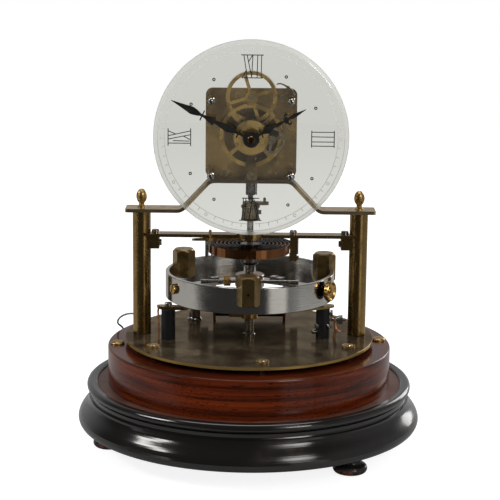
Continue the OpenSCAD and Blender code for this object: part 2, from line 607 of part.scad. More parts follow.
// Electromagnet: coil between fibre cheeks, round core, and two pole arms reaching in to the armature
coil_y = 41;
coil_z = top_z + 12.3;
coil_half = 25;
coil_r = 9.6;
cheek_t = 1.7;
cheek_r = coil_z - top_z - 0.05;
core_r = 3.5;
core_left = -42.5;
core_right = 33.5;
pole_x = 28.5;
pole_t = 5;
pole_z0 = top_z + 18.9;
pole_z1 = top_z + 24.1;
module magnet_coil() color("#151414") difference() {
  rod_x(coil_y, coil_z, -coil_half + cheek_t, coil_half - cheek_t, coil_r);
  rod_x(coil_y, coil_z, -coil_half, coil_half, core_r + seat_fit);
}
module coil_cheeks() color("#6b2a1c") for (x = [-coil_half, coil_half - cheek_t]) difference() {
  rod_x(coil_y, coil_z, x, x + cheek_t - seat_fit, cheek_r);
  rod_x(coil_y, coil_z, x - cut, x + cheek_t + cut, core_r + seat_fit);
}
module pole_arm(s) difference() {
  union() {
    translate([s > 0 ? pole_x : -pole_x - pole_t, 0, 0]) slab_x(0, pole_t) union() {
      translate([coil_y, coil_z]) circle(r = 6.4);
      polygon([[coil_y - 6.4, coil_z], [coil_y + 6.4, coil_z], [coil_y + 6.4, pole_z1], [14, pole_z1], [14,
          pole_z0],
        [coil_y - 6.4, pole_z0]]);
    }
    translate([s > 0 ? pole_x - 9 : -pole_x, 14, pole_z0]) cube([9, 6, pole_z1 - pole_z0]);
  }
  rod_x(coil_y, coil_z, core_left, core_right + cut, core_r + seat_fit);
}
module magnet_core() color("#55534f") {
  rod_x(coil_y, coil_z, core_left, core_right, core_r);
  for (s = [-1, 1]) pole_arm(s);
}
magnet_pillar_x = -38;
module magnet_pillar() color(steel) difference() {
  translate([magnet_pillar_x, coil_y, top_z]) turned([[0, 0], [5.2, 0], [5.2, 0.7], [4.5, 1.4], [4.15,
      1.9], [4.15, 17.5],
    [3.6, 18.1], [0, 18.1]]);
  rod_x(coil_y, coil_z, core_left - cut, -pole_x, core_r + seat_fit);
}

// Balance arbor, with the collet that the spring is pinned to
wheel_z0 = top_z + rim_lift;
wheel_z1 = wheel_z0 + rim_h;
spoke_z = wheel_z0 + 10.3;
hub_z0 = wheel_z0 + 6;
hub_z1 = spoke_z + spoke_t + 2.2;
hub_r = 9.75;
arbor_r = arbor_d / 2;
collet_r = spring_r - spring_pitch * spring_turns - spring_t / 2 - 0.12;
collet_z = spring_z - 8.3;
module balance_arbor() color("#a5a39e") translate([0, 0, pivot_z])
  turned([[0, 0], [pivot_r - 0.3, 0], [pivot_r, 0.3], [pivot_r, foot_top_z + 0.4 - pivot_z], [arbor_r,
      foot_top_z + 0.4 - pivot_z],
    [arbor_r, collet_z - pivot_z], [collet_r - 1.6, collet_z - pivot_z], [collet_r, collet_z + 1.8 - pivot_z],
    [collet_r, spring_z + spring_h - 0.2 - pivot_z], [staff_r, spring_z + spring_h - 0.2 - pivot_z],
    [staff_r, arm_z + arm_t - 0.1 - pivot_z], [tip_r, arm_z + arm_t - 0.1 - pivot_z], [tip_r,
        tip_z - 0.3 - pivot_z],
    [tip_r - 0.3, tip_z - pivot_z], [0, tip_z - pivot_z]]);

// Balance rim: a plain steel ring, drilled for the spoke screws
rim_r = balance_d / 2;
rim_in = rim_r - rim_wall;
spoke_angles = [-60, 60, 180];
spoke_screw_r = 1.2;
spoke_screw_z = spoke_z - 0.3;
module spoke_drill(r) { for (a = spoke_angles) rotate(a) rotate([90, 0, 0])
  translate([0, spoke_screw_z, rim_in - 5]) cylinder(h = 12, r = r); }
module balance_rim() color("#b3b1ad") difference() {
  translate([0, 0, wheel_z0]) turned([[rim_in, 0], [rim_r - 0.3, 0], [rim_r, 0.3], [rim_r, rim_h - 0.3],
      [rim_r - 0.3, rim_h],
    [rim_in, rim_h]]);
  spoke_drill(spoke_screw_r + seat_fit);
}

// Spokes: three flat arms on a stout hub, thickened at the rim for their screws
spoke_end_l = 5.5;
module balance_spokes() color("#c4c2bd") difference() {
  union() {
    translate([0, 0, hub_z0]) turned([[0, 0], [hub_r - 0.6, 0], [hub_r, 0.6], [hub_r, hub_z1 - hub_z0 - 0.5],
      [hub_r - 0.5, hub_z1 - hub_z0], [0, hub_z1 - hub_z0]]);
    intersection() {
      for (a = spoke_angles) rotate(a) {
        translate([-spoke_w / 2, -rim_r, spoke_z]) cube([spoke_w, rim_r, spoke_t]);
        translate([-spoke_w / 2, -rim_in - cut, spoke_z - 4]) cube([spoke_w, spoke_end_l + cut, spoke_t + 5]);
      }
      translate([0, 0, hub_z0 - cut]) cylinder(h = 30, r = rim_in - seat_fit);
    }
  }
  translate([0, 0, hub_z0 - cut]) cylinder(h = 30, r = arbor_r + seat_fit);
  spoke_drill(spoke_screw_r + seat_fit);
}

// Hexagonal weights that straddle the rim
weight_z1 = wheel_z1 + 8.1;
weight_z0 = weight_z1 - weight_h;
weight_ring_r = rim_r - rim_wall / 2;
module rim_weights() color("#a9854a") for (a = weight_angles) rotate(a) difference() {
  intersection() {
    translate([0, -weight_ring_r, weight_z0]) cylinder(h = weight_h, d = weight_af / cos(30), $fn = 6);
    translate([0, -weight_ring_r, weight_z0]) turned([[0, 0], [weight_af / 2 - 0.2, 0], [weight_af * 0.58,
        1.1],
      [weight_af * 0.58, weight_h - 1.9], [weight_af / 2 - 0.6, weight_h], [0, weight_h]]);
  }
  translate([0, 0, weight_z0 - cut]) difference() {
    cylinder(h = wheel_z1 - weight_z0 + cut, r = rim_r + seat_fit);
    translate([0, 0, -cut]) cylinder(h = weight_h + 3 * cut, r = rim_in - seat_fit);
  }
  translate([0, -weight_ring_r, wheel_z1 - 3]) rotate([90, 0, 0]) cylinder(h = weight_af, r = 0.85);
}

// Spoke screws, the stem of the timing nut, and the hexagonal nut on the tie rod
nut_stem_end = rim_r + 5.7;
tie_y = -17.5;
tie_z = spoke_z + spoke_t + 1.02;
tie_r = 1;
module balance_screws() color("#b6904c") {
  for (a = [spoke_angles[0], spoke_angles[2]]) rotate(a) translate([0, -rim_r - seat_fit, spoke_screw_z])
      rotate([90, 0, 0])
    cheese_screw(3.4, 2.2, spoke_screw_r, 7, 65);
  rotate(spoke_angles[1]) translate([0, 0, spoke_screw_z]) rotate([90, 0, 0]) {
    translate([0, 0, rim_in - 4.5]) cylinder(h = nut_stem_end - rim_in + 4.5, r = spoke_screw_r);
  }
  difference() {
    translate([-16.9, tie_y, tie_z]) rotate([0, 90, 0]) cylinder(h = 4.4, r = 3.3, $fn = 6);
    rod_x(tie_y, tie_z, -20, -10, tie_r + seat_fit);
  }
}

// Dished timing nut
timing_in = rim_r + 1;
module timing_nut() color("#c08d3f") rotate(spoke_angles[1]) translate([0, 0, spoke_screw_z]) rotate([90,
    0, 0])
  translate([0, 0, timing_in]) difference() {
    turned([[0, 0], [3, 0], [3.3, 0.5], [5.9, 1.2], [6.5, 2], [6.5, 4.2], [6.1, 4.7], [5.6, 4.6], [4.6,
        3.6], [3, 3.1],
      [2.4, 3.2], [2.3, 4.3], [0, 4.3]]);
    translate([0, 0, -cut]) cylinder(h = 8, r = spoke_screw_r + run_fit);
  }

// Tie rod across the two front spokes, and the small blocks clamped on them
module spoke_fittings() color("#8f8a82") {
  rod_x(tie_y, tie_z, -32, 32, tie_r);
  rotate(-60) difference() {
    translate([-2, -29.4, spoke_z + spoke_t]) cube([4, 5.4, 2.6]);
    translate([0, -26.7, spoke_z + spoke_t + 1]) cylinder(h = 4, r = 0.9);
  }
  rotate(60) translate([-2.4, -20.3, spoke_z + spoke_t]) cube([4.8, 3.8, 2.8]);
  rotate(60) translate([-2.4, -25.2, spoke_z + spoke_t]) cube([4.8, 4.8, 2.4]);
}

// Flat balance spring: a strip of constant step, pinned to the collet inside and to the stud outside
spring_end_a = 1.2;
ring_steps = 48;
spring_n = ceil(spring_turns * ring_steps);
function spring_point(k) = let (a = spring_end_a + 360 * spring_turns * (1 - k / spring_n),
  r = spring_r - spring_pitch * spring_turns * (1 - k / spring_n)) [r * cos(a), r * sin(a)];
spring_line = [for (k = [0:spring_n]) spring_point(k)];
function spring_side(k) = let (d = unit(spring_line[min(k + 1, spring_n)] - spring_line[max(k - 1, 0)]))
    [d[1], -d[0]];
turn_gaps = [for (k = [0:spring_n - ring_steps]) norm(spring_line[k + ring_steps] - spring_line[k])
    - spring_t];
echo(least_gap_between_spring_turns = min(turn_gaps));
module balance_spring() color(blue_steel) {
  half = spring_t / 2;
  corners = [[-half, 0], [half, 0], [half, spring_h], [-half, spring_h]];
  points = [for (k = [0:spring_n]) for (c = corners)
    let (p = spring_line[k] + c[0] * spring_side(k)) [p[0], p[1], spring_z + c[1]]];
  walls = [for (k = [0:spring_n - 1], i = [0:3]) let (a = 4 * k + i, b = 4 * k + (i + 1) % 4)
    each [[a, a + 4, b], [b, a + 4, b + 4]]];
  ends = [[0, 1, 2, 3], [for (i = [3:-1:0]) 4 * spring_n + i]];
  polyhedron(points = points, faces = concat(walls, ends), convexity = 20);
}

// Toggle: a brass collar with an arm, and the small steel blade that trails from its pin
collar_z = foot_top_z + 0.5;
toggle_at = -12;
toggle_pin_r = 0.6;
toggle_z = collar_z + 4.2;
toggle_t = 1.8;
module toggle_collar() color("#b5813a") difference() {
  union() {
    translate([0, 0, collar_z]) turned([[0, 0], [5.3, 0], [5.65, 0.4], [5.65, 3.4], [5.3, 3.8], [0, 3.8]]);
    translate([toggle_at - 1.5, -1.5, collar_z + 0.7]) cube([-toggle_at - 2, 3, 3]);
    translate([toggle_at, 0, collar_z + 1]) cylinder(h = 6.4, r = toggle_pin_r);
  }
  translate([0, 0, collar_z - cut]) cylinder(h = 8, r = arbor_r + seat_fit);
}
module toggle() color("#8d8b88") translate([toggle_at, 0, toggle_z]) difference() {
  union() {
    cylinder(h = toggle_t, r = 1.7);
    linear_extrude(toggle_t) polygon([[0, -1.5], [0, 1.5], [-9, 1.1], [-12.6, 0.9], [-13.5, 0], [-12.6,
        -0.9], [-9, -1.1]]);
  }
  translate([0, 0, -cut]) cylinder(h = toggle_t + 2 * cut, r = toggle_pin_r + run_fit);
}

// Soft iron armature across the arbor
armature_z = pole_z0 + 0.7;
module armature() color("#4b4947") difference() {
  translate([-22.4, -4, armature_z]) cube([44.8, 8, pole_z1 - pole_z0 - 0.4]);
  translate([0, 0, armature_z - cut]) cylinder(h = 12, r = arbor_r + seat_fit);
}

// Drive drum at the top of the arbor, with the arm and pin that work the gathering lever
drive_r = 6.2;
pin_at = 9.3;
module drive_drum() color("#97804f") difference() {
  union() {
    translate([0, 0, drum_base_z]) turned([[0, 0], [drive_r, 0], [drive_r, 1.1], [drive_r - 0.7, 1.5],
        [drive_r - 0.7, 8],
      [drive_r, 8.4], [drive_r, 9.6], [drive_r - 0.5, 10.1], [0, 10.1]]);
    translate([0, 0, arm_z]) linear_extrude(arm_t) union() {
      circle(r = 4.6);
      polygon([[0, -2.6], [8, -1.9], [11, -1.5], [12, -0.6], [12, 0.6], [11, 1.5], [8, 1.9], [0, 2.6]]);
    }
    translate([pin_at, 0, arm_z]) turned([[0, 0], [0.95, 0], [0.95, tip_z - arm_z - 0.5], [0.5,
        tip_z - arm_z], [0, tip_z - arm_z]]);
    rod_x(0, drum_base_z + 5.2, drive_r - 1, drive_r + 1, 1.4);
  }
  translate([0, 0, drum_base_z - cut]) cylinder(h = 20, r = staff_r + seat_fit);
}

// Movement plate, standing on the bar and screwed to two feet behind it
move_y0 = bar_y1 - 2 - move_t;
move_y1 = move_y0 + move_t;
post_spread = 26;
post_up = 24.2;
post_down = -24.8;
corner_r = 4.5;
count_module = 0.3;
count_z = hand_z + count_module * (centre_teeth + count_pinion_teeth) / 2;
click_at = [20.4, count_z - 1.3];
gather_x = 2.6;
gather_z = bar_top_z + 12.4;
pawl_z = count_z - count_r - 0.7;
foot_screw_x = 17.5;
foot_screw_z = bar_top_z + 3;
post_places = [for (s = [-1, 1], h = [post_down, post_up]) [s * post_spread, hand_z + h]];
stem_r = 1.2;
module movement_plate() color("#9b8250") difference() {
  slab_y(move_y0, move_y1) difference() {
    translate([0, bar_top_z]) union() {
      translate([-move_w / 2 + corner_r, 0]) square([move_w - 2 * corner_r, move_h]);
      translate([-move_w / 2, corner_r]) square([move_w, move_h - 2 * corner_r]);
      for (s = [-1, 1], h = [corner_r, move_h - corner_r]) translate([s * (move_w / 2 - corner_r), h])
          circle(r = corner_r);
    }
    for (p = post_places) translate(p) circle(r = stem_r + seat_fit);
    translate([0, hand_z]) circle(r = 1.5 + run_fit);
    translate([0, count_z]) circle(r = stem_r + seat_fit);
    translate(click_at) circle(r = stem_r + seat_fit);
    translate([gather_x, gather_z]) circle(r = stem_r + seat_fit);
    for (s = [-1, 1]) translate([s * foot_screw_x, foot_screw_z]) circle(r = 0.8 + seat_fit);
    translate([gather_x - 2.6, pawl_z - 1.3]) square([5.2, 2.6]);
    translate([28.3, count_z + 1.6]) circle(r = 0.45);
  }
}
module plate_feet() color(brass) difference() {
  for (s = [-1, 1]) translate([s * foot_screw_x - 4, move_y1, bar_top_z]) cube([8, bar_y1 - move_y1, 6.5]);
  for (s = [-1, 1]) rod_y(s * foot_screw_x, foot_screw_z, move_y1 - cut, bar_y1 + cut, 0.8 + seat_fit);
}

// Corner posts and domed nuts that hold the glass dial
dial_y1 = move_y0 - 17.3;
dial_y0 = dial_y1 - dial_t;
post_screw_l = 1.9;
module corner_posts() color(brass) for (p = post_places) {
  rod_y(p[0], p[1], dial_y1, move_y0, 2.1);
  rod_y(p[0], p[1], move_y0 - 0.4, move_y0, 2.8);
  rod_y(p[0], p[1], move_y0, move_y1, stem_r);
  rod_y(p[0], p[1], dial_y0 - post_screw_l, dial_y1, stem_r);
}
module dial_nuts() color("#cfccc6") for (p = post_places) translate([p[0], dial_y0, p[1]]) rotate([90, 0,
    0]) difference() {
  turned(concat([[0, 0], [2.5, 0], [2.5, 0.4], [2.1, 0.6]],
    [for (i = [0:6]) [2 * cos(15 * i), 0.9 + 1.7 * sin(15 * i)]]));
  translate([0, 0, -cut]) cylinder(h = post_screw_l + cut + 0.1, r = stem_r + seat_fit);
}

// Glass dial with a bevelled edge
dial_bevel = 2.9;
pipe_hole_r = 4;
module dial_glass() color([0.8, 0.83, 0.8, 0.5]) difference() {
  translate([0, dial_y1, hand_z]) rotate([90, 0, 0])
    turned([[0, 0], [dial_d / 2 - 0.4, 0], [dial_d / 2, 0.4], [dial_d / 2, dial_t * 0.7],
      [dial_d / 2 - dial_bevel, dial_t], [0, dial_t]]);
  rod_y(0, hand_z, dial_y0 - cut, dial_y1 + cut, pipe_hole_r);
  for (p = post_places) rod_y(p[0], p[1], dial_y0 - cut, dial_y1 + cut, stem_r + 0.3);
}

// Cock that carries the front of the centre arbor and the motion wheel's stud
cock_y0 = bar_y0 + 0.3;
cock_y1 = cock_y0 + 2.3;
motion_angle = -8;
motion_teeth = 48;
cannon_teeth = 24;
motion_pinion_teeth = 12;
hour_teeth = 72;
hour_module = 0.32;
motion_dist = hour_module * (hour_teeth + motion_pinion_teeth) / 2;
cannon_module = 2 * motion_dist / (motion_teeth + cannon_teeth);
motion_at = [motion_dist * cos(motion_angle), hand_z + motion_dist * sin(motion_angle)];
motion_stud_r = 0.8;
cock_screw_z = bar_top_z + 2.9;
module hand_cock() color("#a1803f") difference() {
  union() {
    slab_y(cock_y0, cock_y1) union() {
      polygon([[-3.95, bar_top_z], [3.95, bar_top_z], [3.95, bar_top_z + 8], [2.65, bar_top_z + 12], [2.65,
          hand_z],
        [-2.65, hand_z], [-2.65, bar_top_z + 12], [-3.95, bar_top_z + 8]]);
      translate([0, hand_z]) circle(r = 5.2);
      translate(motion_at) circle(r = 2.6);
      polygon([[0, hand_z - 4], [motion_at[0], motion_at[1] - 2.5], [motion_at[0], motion_at[1] + 2.5], [0,
          hand_z + 3.6]]);
    }
    translate([-3.95, cock_y1, bar_top_z]) cube([7.9, 5, 5.6]);
  }
  rod_y(0, hand_z, cock_y0 - cut, cock_y1 + cut, 1.5 + run_fit);
  rod_y(motion_at[0], motion_at[1], cock_y0 - cut, cock_y1 + cut, motion_stud_r + seat_fit);
  rod_y(0, cock_screw_z, cock_y0 - cut, cock_y1 + 3, stem_r + seat_fit);
}

// Screws and studs of the movement
hour_y1 = dial_y1 + 2.6;
module movement_screws() color("#6f6a5e") {
  translate([0, cock_y0, cock_screw_z]) rotate([90, 0, 0]) cheese_screw(2.75, 1.2, stem_r, 4.5, 40);
  for (s = [-1, 1]) translate([s * foot_screw_x, move_y0, foot_screw_z]) rotate([90, 0, 0])
      cheese_screw(1.45, 0.9, 0.8, 4, 75);
  translate([0, move_y0 - 4.1, count_z]) rotate([90, 0, 0]) cheese_screw(2.2, 1.2, stem_r, 6.2, 100);
  translate([click_at[0], move_y0 - 1.7, click_at[1]]) rotate([90, 0, 0]) cheese_screw(2.4, 1.1, stem_r,
      3.8, 55);
  translate([gather_x, move_y1 + 3.7, gather_z]) rotate([-90, 0, 0]) cheese_screw(2.2, 1.1, stem_r, 5.8, 20);
  difference() {
    rod_y(gather_x, gather_z, move_y1, move_y1 + 2.3, 2.4);
    rod_y(gather_x, gather_z, move_y1 - cut, move_y1 + 4, stem_r + seat_fit);
  }
  rod_y(motion_at[0], motion_at[1], dial_y1 + 0.8, cock_y1, motion_stud_r);
  rod_y(motion_at[0], motion_at[1], dial_y1 + 0.5, dial_y1 + 1, motion_stud_r + 0.4);
}

// Click that holds the count wheel, and its wire spring
click_y0 = move_y0 - 1.4;
click_y1 = move_y0 - 0.5;
module click() color("#8a6f3c") slab_y(click_y0, click_y1) translate(click_at) difference() {
  union() {
    circle(r = 2.65);
    polygon([[0.5, 2], [2.4, 0.8], [4, 4.4], [4.9, 7], [4.3, 8.3], [2.6, 8.8], [0.6, 9.8], [-1.6, 10.5],
        [-3.4, 10.3],
      [-4.7, 9.2], [-3.2, 9.5], [-1.4, 9.6], [0.6, 8.8], [2.3, 7.6], [2, 5]]);
  }
  circle(r = stem_r + run_fit);
}
module click_spring() color("#c9c6bf") {
  wire_y = (click_y0 + click_y1) / 2;
  tube([[28.3, move_y1 - 0.4, count_z + 1.6], [28.3, move_y0, count_z + 1.6], [28.3, wire_y + 0.3,
      count_z + 1.7],
    [28.1, wire_y, count_z + 2.2], [27.2, wire_y, count_z + 3.8], [26.2, wire_y, count_z + 5.6]], 0.3);
}

// Gathering lever behind the plate: its foot hangs over the drive pin, its pin reaches the count wheel
gather_y0 = bar_y1 + 0.4;
gather_y1 = gather_y0 + 1;
module gathering_lever() color("#a9a7a2") {
  slab_y(gather_y0, gather_y1) difference() {
    union() {
      translate([gather_x, gather_z]) circle(r = 3.1);
      polygon([[gather_x - 1.7, tip_z + 0.35], [gather_x + 1.7, tip_z + 0.35], [gather_x + 1.9, gather_z],
        [gather_x + 1.1, pawl_z + 0.7], [gather_x - 1.1, pawl_z + 0.7], [gather_x - 1.9, gather_z]]);
    }
    translate([gather_x, gather_z]) circle(r = stem_r + run_fit);
  }
  translate([gather_x - 1.7, 8.6, tip_z + 0.35]) cube([3.4, gather_y0 - 8.6 + 0.2, 0.9]);
  rod_y(gather_x, pawl_z, move_y0 - 1.5, gather_y0 + 0.2, 0.5);
}

// Centre arbor with its wheel and cannon pinion, and the nut in front of the hands
arbor_y0 = dial_y0 - 8;
centre_y1 = move_y0 - 2.3;
centre_y0 = centre_y1 - 0.9;
cannon_y1 = cock_y0 - 0.4;
cannon_y0 = cannon_y1 - 1.4;
centre_r = 1.5;
minute_y1 = dial_y0 - 5.3;
minute_y0 = minute_y1 - 0.7;
count_phase = 90;
module centre_wheel() color("#a98a48") {
  rod_y(0, hand_z, arbor_y0, move_y1 + 0.4, centre_r);
  slab_y(centre_y0, centre_y1) translate([0, hand_z]) difference() {
    rotate(count_phase) tooth_wheel(centre_teeth, count_module);
    crossings(5, 18.2, 4, 2.6, 42);
  }
  rod_y(0, hand_z, centre_y0 - 0.8, centre_y1 + 0.5, 3.4);
  slab_y(cannon_y0, cannon_y1) translate([0, hand_z]) rotate(motion_angle) tooth_wheel(cannon_teeth,
      cannon_module);
  difference() {
    translate([0, minute_y0, hand_z]) rotate([90, 0, 0]) turned([[0, 0], [2.4, 0], [2.4, 0.7], [1.9, 1.2],
        [0, 1.3]]);
    rod_y(0, hand_z, arbor_y0 - cut, minute_y1, centre_r + seat_fit);
  }
}

// Hands: filed outlines, each drawn as its right half pointing up and then mirrored
function side(y0, y1, w0, w1, w2, n = 6) = [for (i = [0:n]) let (t = i / n)
  [(w0 * pow(1 - t, 2) + 2 * w1 * t * (1 - t) + w2 * t * t) / 2, y0 + (y1 - y0) * t]];
function bar_side(y, w, neck, t = 0.8) = [[neck / 2, y - t / 2], [w / 2, y - t / 2], [w / 2, y + t / 2],
    [neck / 2, y + t / 2]];
function both_sides(half) = concat(half, [for (i = [len(half) - 1:-1:0]) [-half[i][0], half[i][1]]]);
minute_half = concat(
  [for (a = [-90:8:78]) 5.3 * [cos(a), sin(a)]],
  bar_side(minute_len * 0.16, 6.3, 1.5),
  side(minute_len * 0.178, minute_len * 0.3, 1.5, 4.6, 5.1),
  side(minute_len * 0.302, minute_len * 0.455, 5.1, 3.8, 1.9),
  [[3, minute_len * 0.462], [2.1, minute_len * 0.51], [0.8, minute_len * 0.595]],
  bar_side(minute_len * 0.613, 7, 1.6),
  side(minute_len * 0.63, minute_len * 0.745, 1.6, 4.3, 5),
  side(minute_len * 0.747, minute_len, 5, 2.2, 0.35));
module minute_hand() color("#111010") slab_y(minute_y0, minute_y1)
  translate([0, hand_z]) rotate(-minute_angle) difference() {
    polygon(both_sides(minute_half));
    circle(r = centre_r + seat_fit);
  }
hour_hand_y1 = dial_y0 - 3.1;
hour_hand_y0 = hour_hand_y1 - 0.7;
pipe_r = 2.8;
hour_curl = [[2.4, 0.636], [3.5, 0.645], [4, 0.672], [3.6, 0.7], [2.7, 0.705], [2.4, 0.69], [3, 0.682], [3,
    0.668],
  [2.3, 0.659], [1.5, 0.668]];
hour_half = concat(
  [for (a = [-90:8:78]) 4.6 * [cos(a), sin(a)]],
  bar_side(hour_len * 0.185, 6, 1.4),
  side(hour_len * 0.205, hour_len * 0.31, 1.4, 3.6, 4),
  side(hour_len * 0.313, hour_len * 0.44, 4, 2.4, 1),
  side(hour_len * 0.45, hour_len * 0.51, 1, 2.4, 2.3, 4),
  side(hour_len * 0.513, hour_len * 0.6, 2.3, 1.8, 1.2, 4),
  bar_side(hour_len * 0.618, 4.6, 2.6, 0.7),
  [for (p = hour_curl) [p[0], p[1] * hour_len]],
  side(hour_len * 0.685, hour_len * 0.8, 1.3, 2.6, 2.7),
  side(hour_len * 0.803, hour_len, 2.7, 1.2, 0.35));
module hour_hand() color("#111010") slab_y(hour_hand_y0, hour_hand_y1)
  translate([0, hand_z]) rotate(-hour_angle) difference() {
    polygon(both_sides(hour_half));
    circle(r = pipe_r + seat_fit);
  }

// Hour wheel with its pipe through the glass
hour_y0 = dial_y1 + 1.4;
module hour_wheel() color("#b08e46") difference() {
  union() {
    slab_y(hour_y0, hour_y1) translate([0, hand_z]) rotate(motion_angle) tooth_wheel(hour_teeth, hour_module);
    rod_y(0, hand_z, hour_hand_y0 - 0.4, hour_y1, pipe_r);
  }
  rod_y(0, hand_z, hour_hand_y0 - cut, hour_y1 + cut, centre_r + run_fit);
}

// Motion wheel and pinion on the cock's stud
motion_y1 = cannon_y1 - 0.2;
motion_y0 = motion_y1 - 0.9;
module motion_wheel() color("#4c4740") difference() {
  union() {
    slab_y(motion_y0, motion_y1) translate(motion_at) difference() {
      rotate(motion_angle + 180 + 180 / motion_teeth) tooth_wheel(motion_teeth, cannon_module);
      crossings(3, 7.2, 3, 1.6, 20);
    }
    slab_y(hour_y0 - 0.2, motion_y1) translate(motion_at)
      rotate(motion_angle + 180 + 180 / motion_pinion_teeth) tooth_wheel(motion_pinion_teeth, hour_module);
  }
  rod_y(motion_at[0], motion_at[1], hour_y0 - 2, motion_y1 + 2, motion_stud_r + run_fit);
}

// Count wheel: ratchet teeth, four arms, and the pinion that drives the centre wheel
count_y1 = move_y0 - 0.6;
count_y0 = count_y1 - 0.8;
tooth_cut = 0.95;
function ratchet_outline(n, r, d) = [for (i = [0:n - 1]) for (q = [[0, 0], [0.12, d], [0.92, 0.06]])
  let (a = (i + q[0]) * 360 / n) (r - q[1]) * [cos(a), sin(a)]];
module count_wheel() color("#b0925a") difference() {
  union() {
    slab_y(count_y0, count_y1) translate([0, count_z]) difference() {
      polygon(ratchet_outline(count_teeth, count_r, tooth_cut));
      crossings(4.2, count_r - 3, 4, 2.2, 17);
    }
    slab_y(centre_y0 - 0.3, count_y0) translate([0, count_z])
      rotate(count_phase + 180 + 180 / count_pinion_teeth) tooth_wheel(count_pinion_teeth, count_module);
    rod_y(0, count_z, count_y0, move_y0 - 0.2, 3);
  }
  rod_y(0, count_z, centre_y0 - 2, move_y0, stem_r + run_fit);
}

plinth();
bun_feet();
mahogany_drum();
drum_disc();
drum_studs();
base_plate();
levelling_screw(0);  // levelling_screw_front
levelling_screw(1);  // levelling_screw_left
levelling_screw(2);  // levelling_screw_right
levelling_screw(3);  // levelling_screw_back
pillars();
frame_bar();
finials();
lower_crossbar();
crossbar_lugs();
frame_screws();
spring_stud();
regulator();
foot_bearing();
upper_bearing();
ebonite_posts();
contact_lever();
terminal_strip();
terminal_rod();
terminal_nut();
terminal_screws();
hookup_wires();
lead_wire();
magnet_coil();
coil_cheeks();
magnet_core();
magnet_pillar();
balance_arbor();
balance_rim();
balance_spokes();
rim_weights();
balance_screws();
spoke_fittings();
balance_spring();
toggle_collar();
toggle();
armature();
drive_drum();
timing_nut();
movement_plate();
plate_feet();
corner_posts();
dial_nuts();
dial_glass();
hand_cock();
movement_screws();
click_spring();
click();
gathering_lever();
centre_wheel();
minute_hand();
hour_wheel();
hour_hand();
motion_wheel();
count_wheel();
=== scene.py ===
import math
import bpy
from mathutils import Euler, Matrix, Vector


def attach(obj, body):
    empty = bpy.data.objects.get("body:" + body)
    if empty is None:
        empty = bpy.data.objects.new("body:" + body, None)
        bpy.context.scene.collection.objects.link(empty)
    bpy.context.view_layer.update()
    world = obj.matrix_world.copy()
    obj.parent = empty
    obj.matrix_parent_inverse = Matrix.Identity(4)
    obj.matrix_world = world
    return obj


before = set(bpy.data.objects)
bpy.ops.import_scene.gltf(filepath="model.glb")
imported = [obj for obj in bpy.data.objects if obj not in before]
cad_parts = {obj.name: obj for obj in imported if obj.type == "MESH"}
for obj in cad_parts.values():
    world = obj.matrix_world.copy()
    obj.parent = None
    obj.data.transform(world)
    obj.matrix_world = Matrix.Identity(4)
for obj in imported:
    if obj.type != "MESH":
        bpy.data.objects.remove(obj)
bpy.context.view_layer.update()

# The studio: a white table that ends just in front of the clock, a bright room behind it,
# a dim one before it, and soft lamps at the sides and above, as in the photograph.
camera_tilt = math.radians(78.67)
camera_roll = math.radians(0.6)
eye = bpy.data.cameras.new("eye")
eye.lens = 111.7
eye.sensor_width = 36
eye.clip_start = 0.01
camera = bpy.data.objects.new("camera", eye)
bpy.context.scene.collection.objects.link(camera)
camera.location = (0, -1.010, 0.332)
turn = Euler((camera_tilt, 0, 0)).to_matrix() @ Matrix.Rotation(camera_roll, 3, "Z")
camera.rotation_euler = turn.to_euler()
bpy.context.scene.camera = camera
bpy.context.scene.view_settings.view_transform = "Standard"


def lamp(name, place, aim, wide, high, watts, colour):
    data = bpy.data.lights.new(name, "AREA")
    data.shape = "RECTANGLE"
    data.size = wide
    data.size_y = high
    data.energy = watts
    data.color = colour
    stand = bpy.data.objects.new(name, data)
    bpy.context.scene.collection.objects.link(stand)
    stand.location = place
    stand.rotation_euler = (Vector(aim) - Vector(place)).to_track_quat("-Z", "Y").to_euler()
    stand.visible_transmission = False


warm = (1, 0.98, 0.95)
faintly_warm = (1, 0.99, 0.97)
clock_middle = (0, 0, 0.14)
clock_lower = (0, 0, 0.10)
lamp("left_lamp", (-1.16, -0.34, 0.92), clock_middle, wide=0.60, high=0.20, watts=6.5, colour=warm)
lamp("left_card", (-1.08, -0.48, 0.14), clock_middle, wide=0.70, high=0.07, watts=0.8, colour=warm)
lamp("right_lamp", (0.75, -1.10, 0.80), clock_middle, wide=0.42, high=0.55, watts=7, colour=warm)
lamp("right_side_lamp", (0.90, 1.05, 0.48), clock_lower, wide=0.5, high=0.8, watts=5,
     colour=faintly_warm)
lamp("top_lamp", (0, 0.1, 1.3), (0, 0, 0.1), wide=1.0, high=0.7, watts=7, colour=(1, 1, 1))
lamp("low_card", (0.60, -0.78, -0.05), clock_lower, wide=0.42, high=0.34, watts=0.3,
     colour=faintly_warm)


def worked(tree, operation, *values):
    """Put numbers or node outputs through one Math node."""
    sum_node = tree.nodes.new("ShaderNodeMath")
    sum_node.operation = operation
    for socket, value in zip(sum_node.inputs, values):
        if isinstance(value, (int, float)):
            socket.default_value = value
        else:
            tree.links.new(value, socket)
    return sum_node.outputs[0]


def fade(tree, value, start, end, low=0.0, high=1.0, soft=True):
    """Run from low, where value is start, to high, where it is end."""
    ramp = tree.nodes.new("ShaderNodeMapRange")
    if soft:
        ramp.interpolation_type = "SMOOTHSTEP"
    ramp.inputs["From Min"].default_value = start
    ramp.inputs["From Max"].default_value = end
    ramp.inputs["To Min"].default_value = low
    ramp.inputs["To Max"].default_value = high
    tree.links.new(value, ramp.inputs["Value"])
    return ramp.outputs[0]


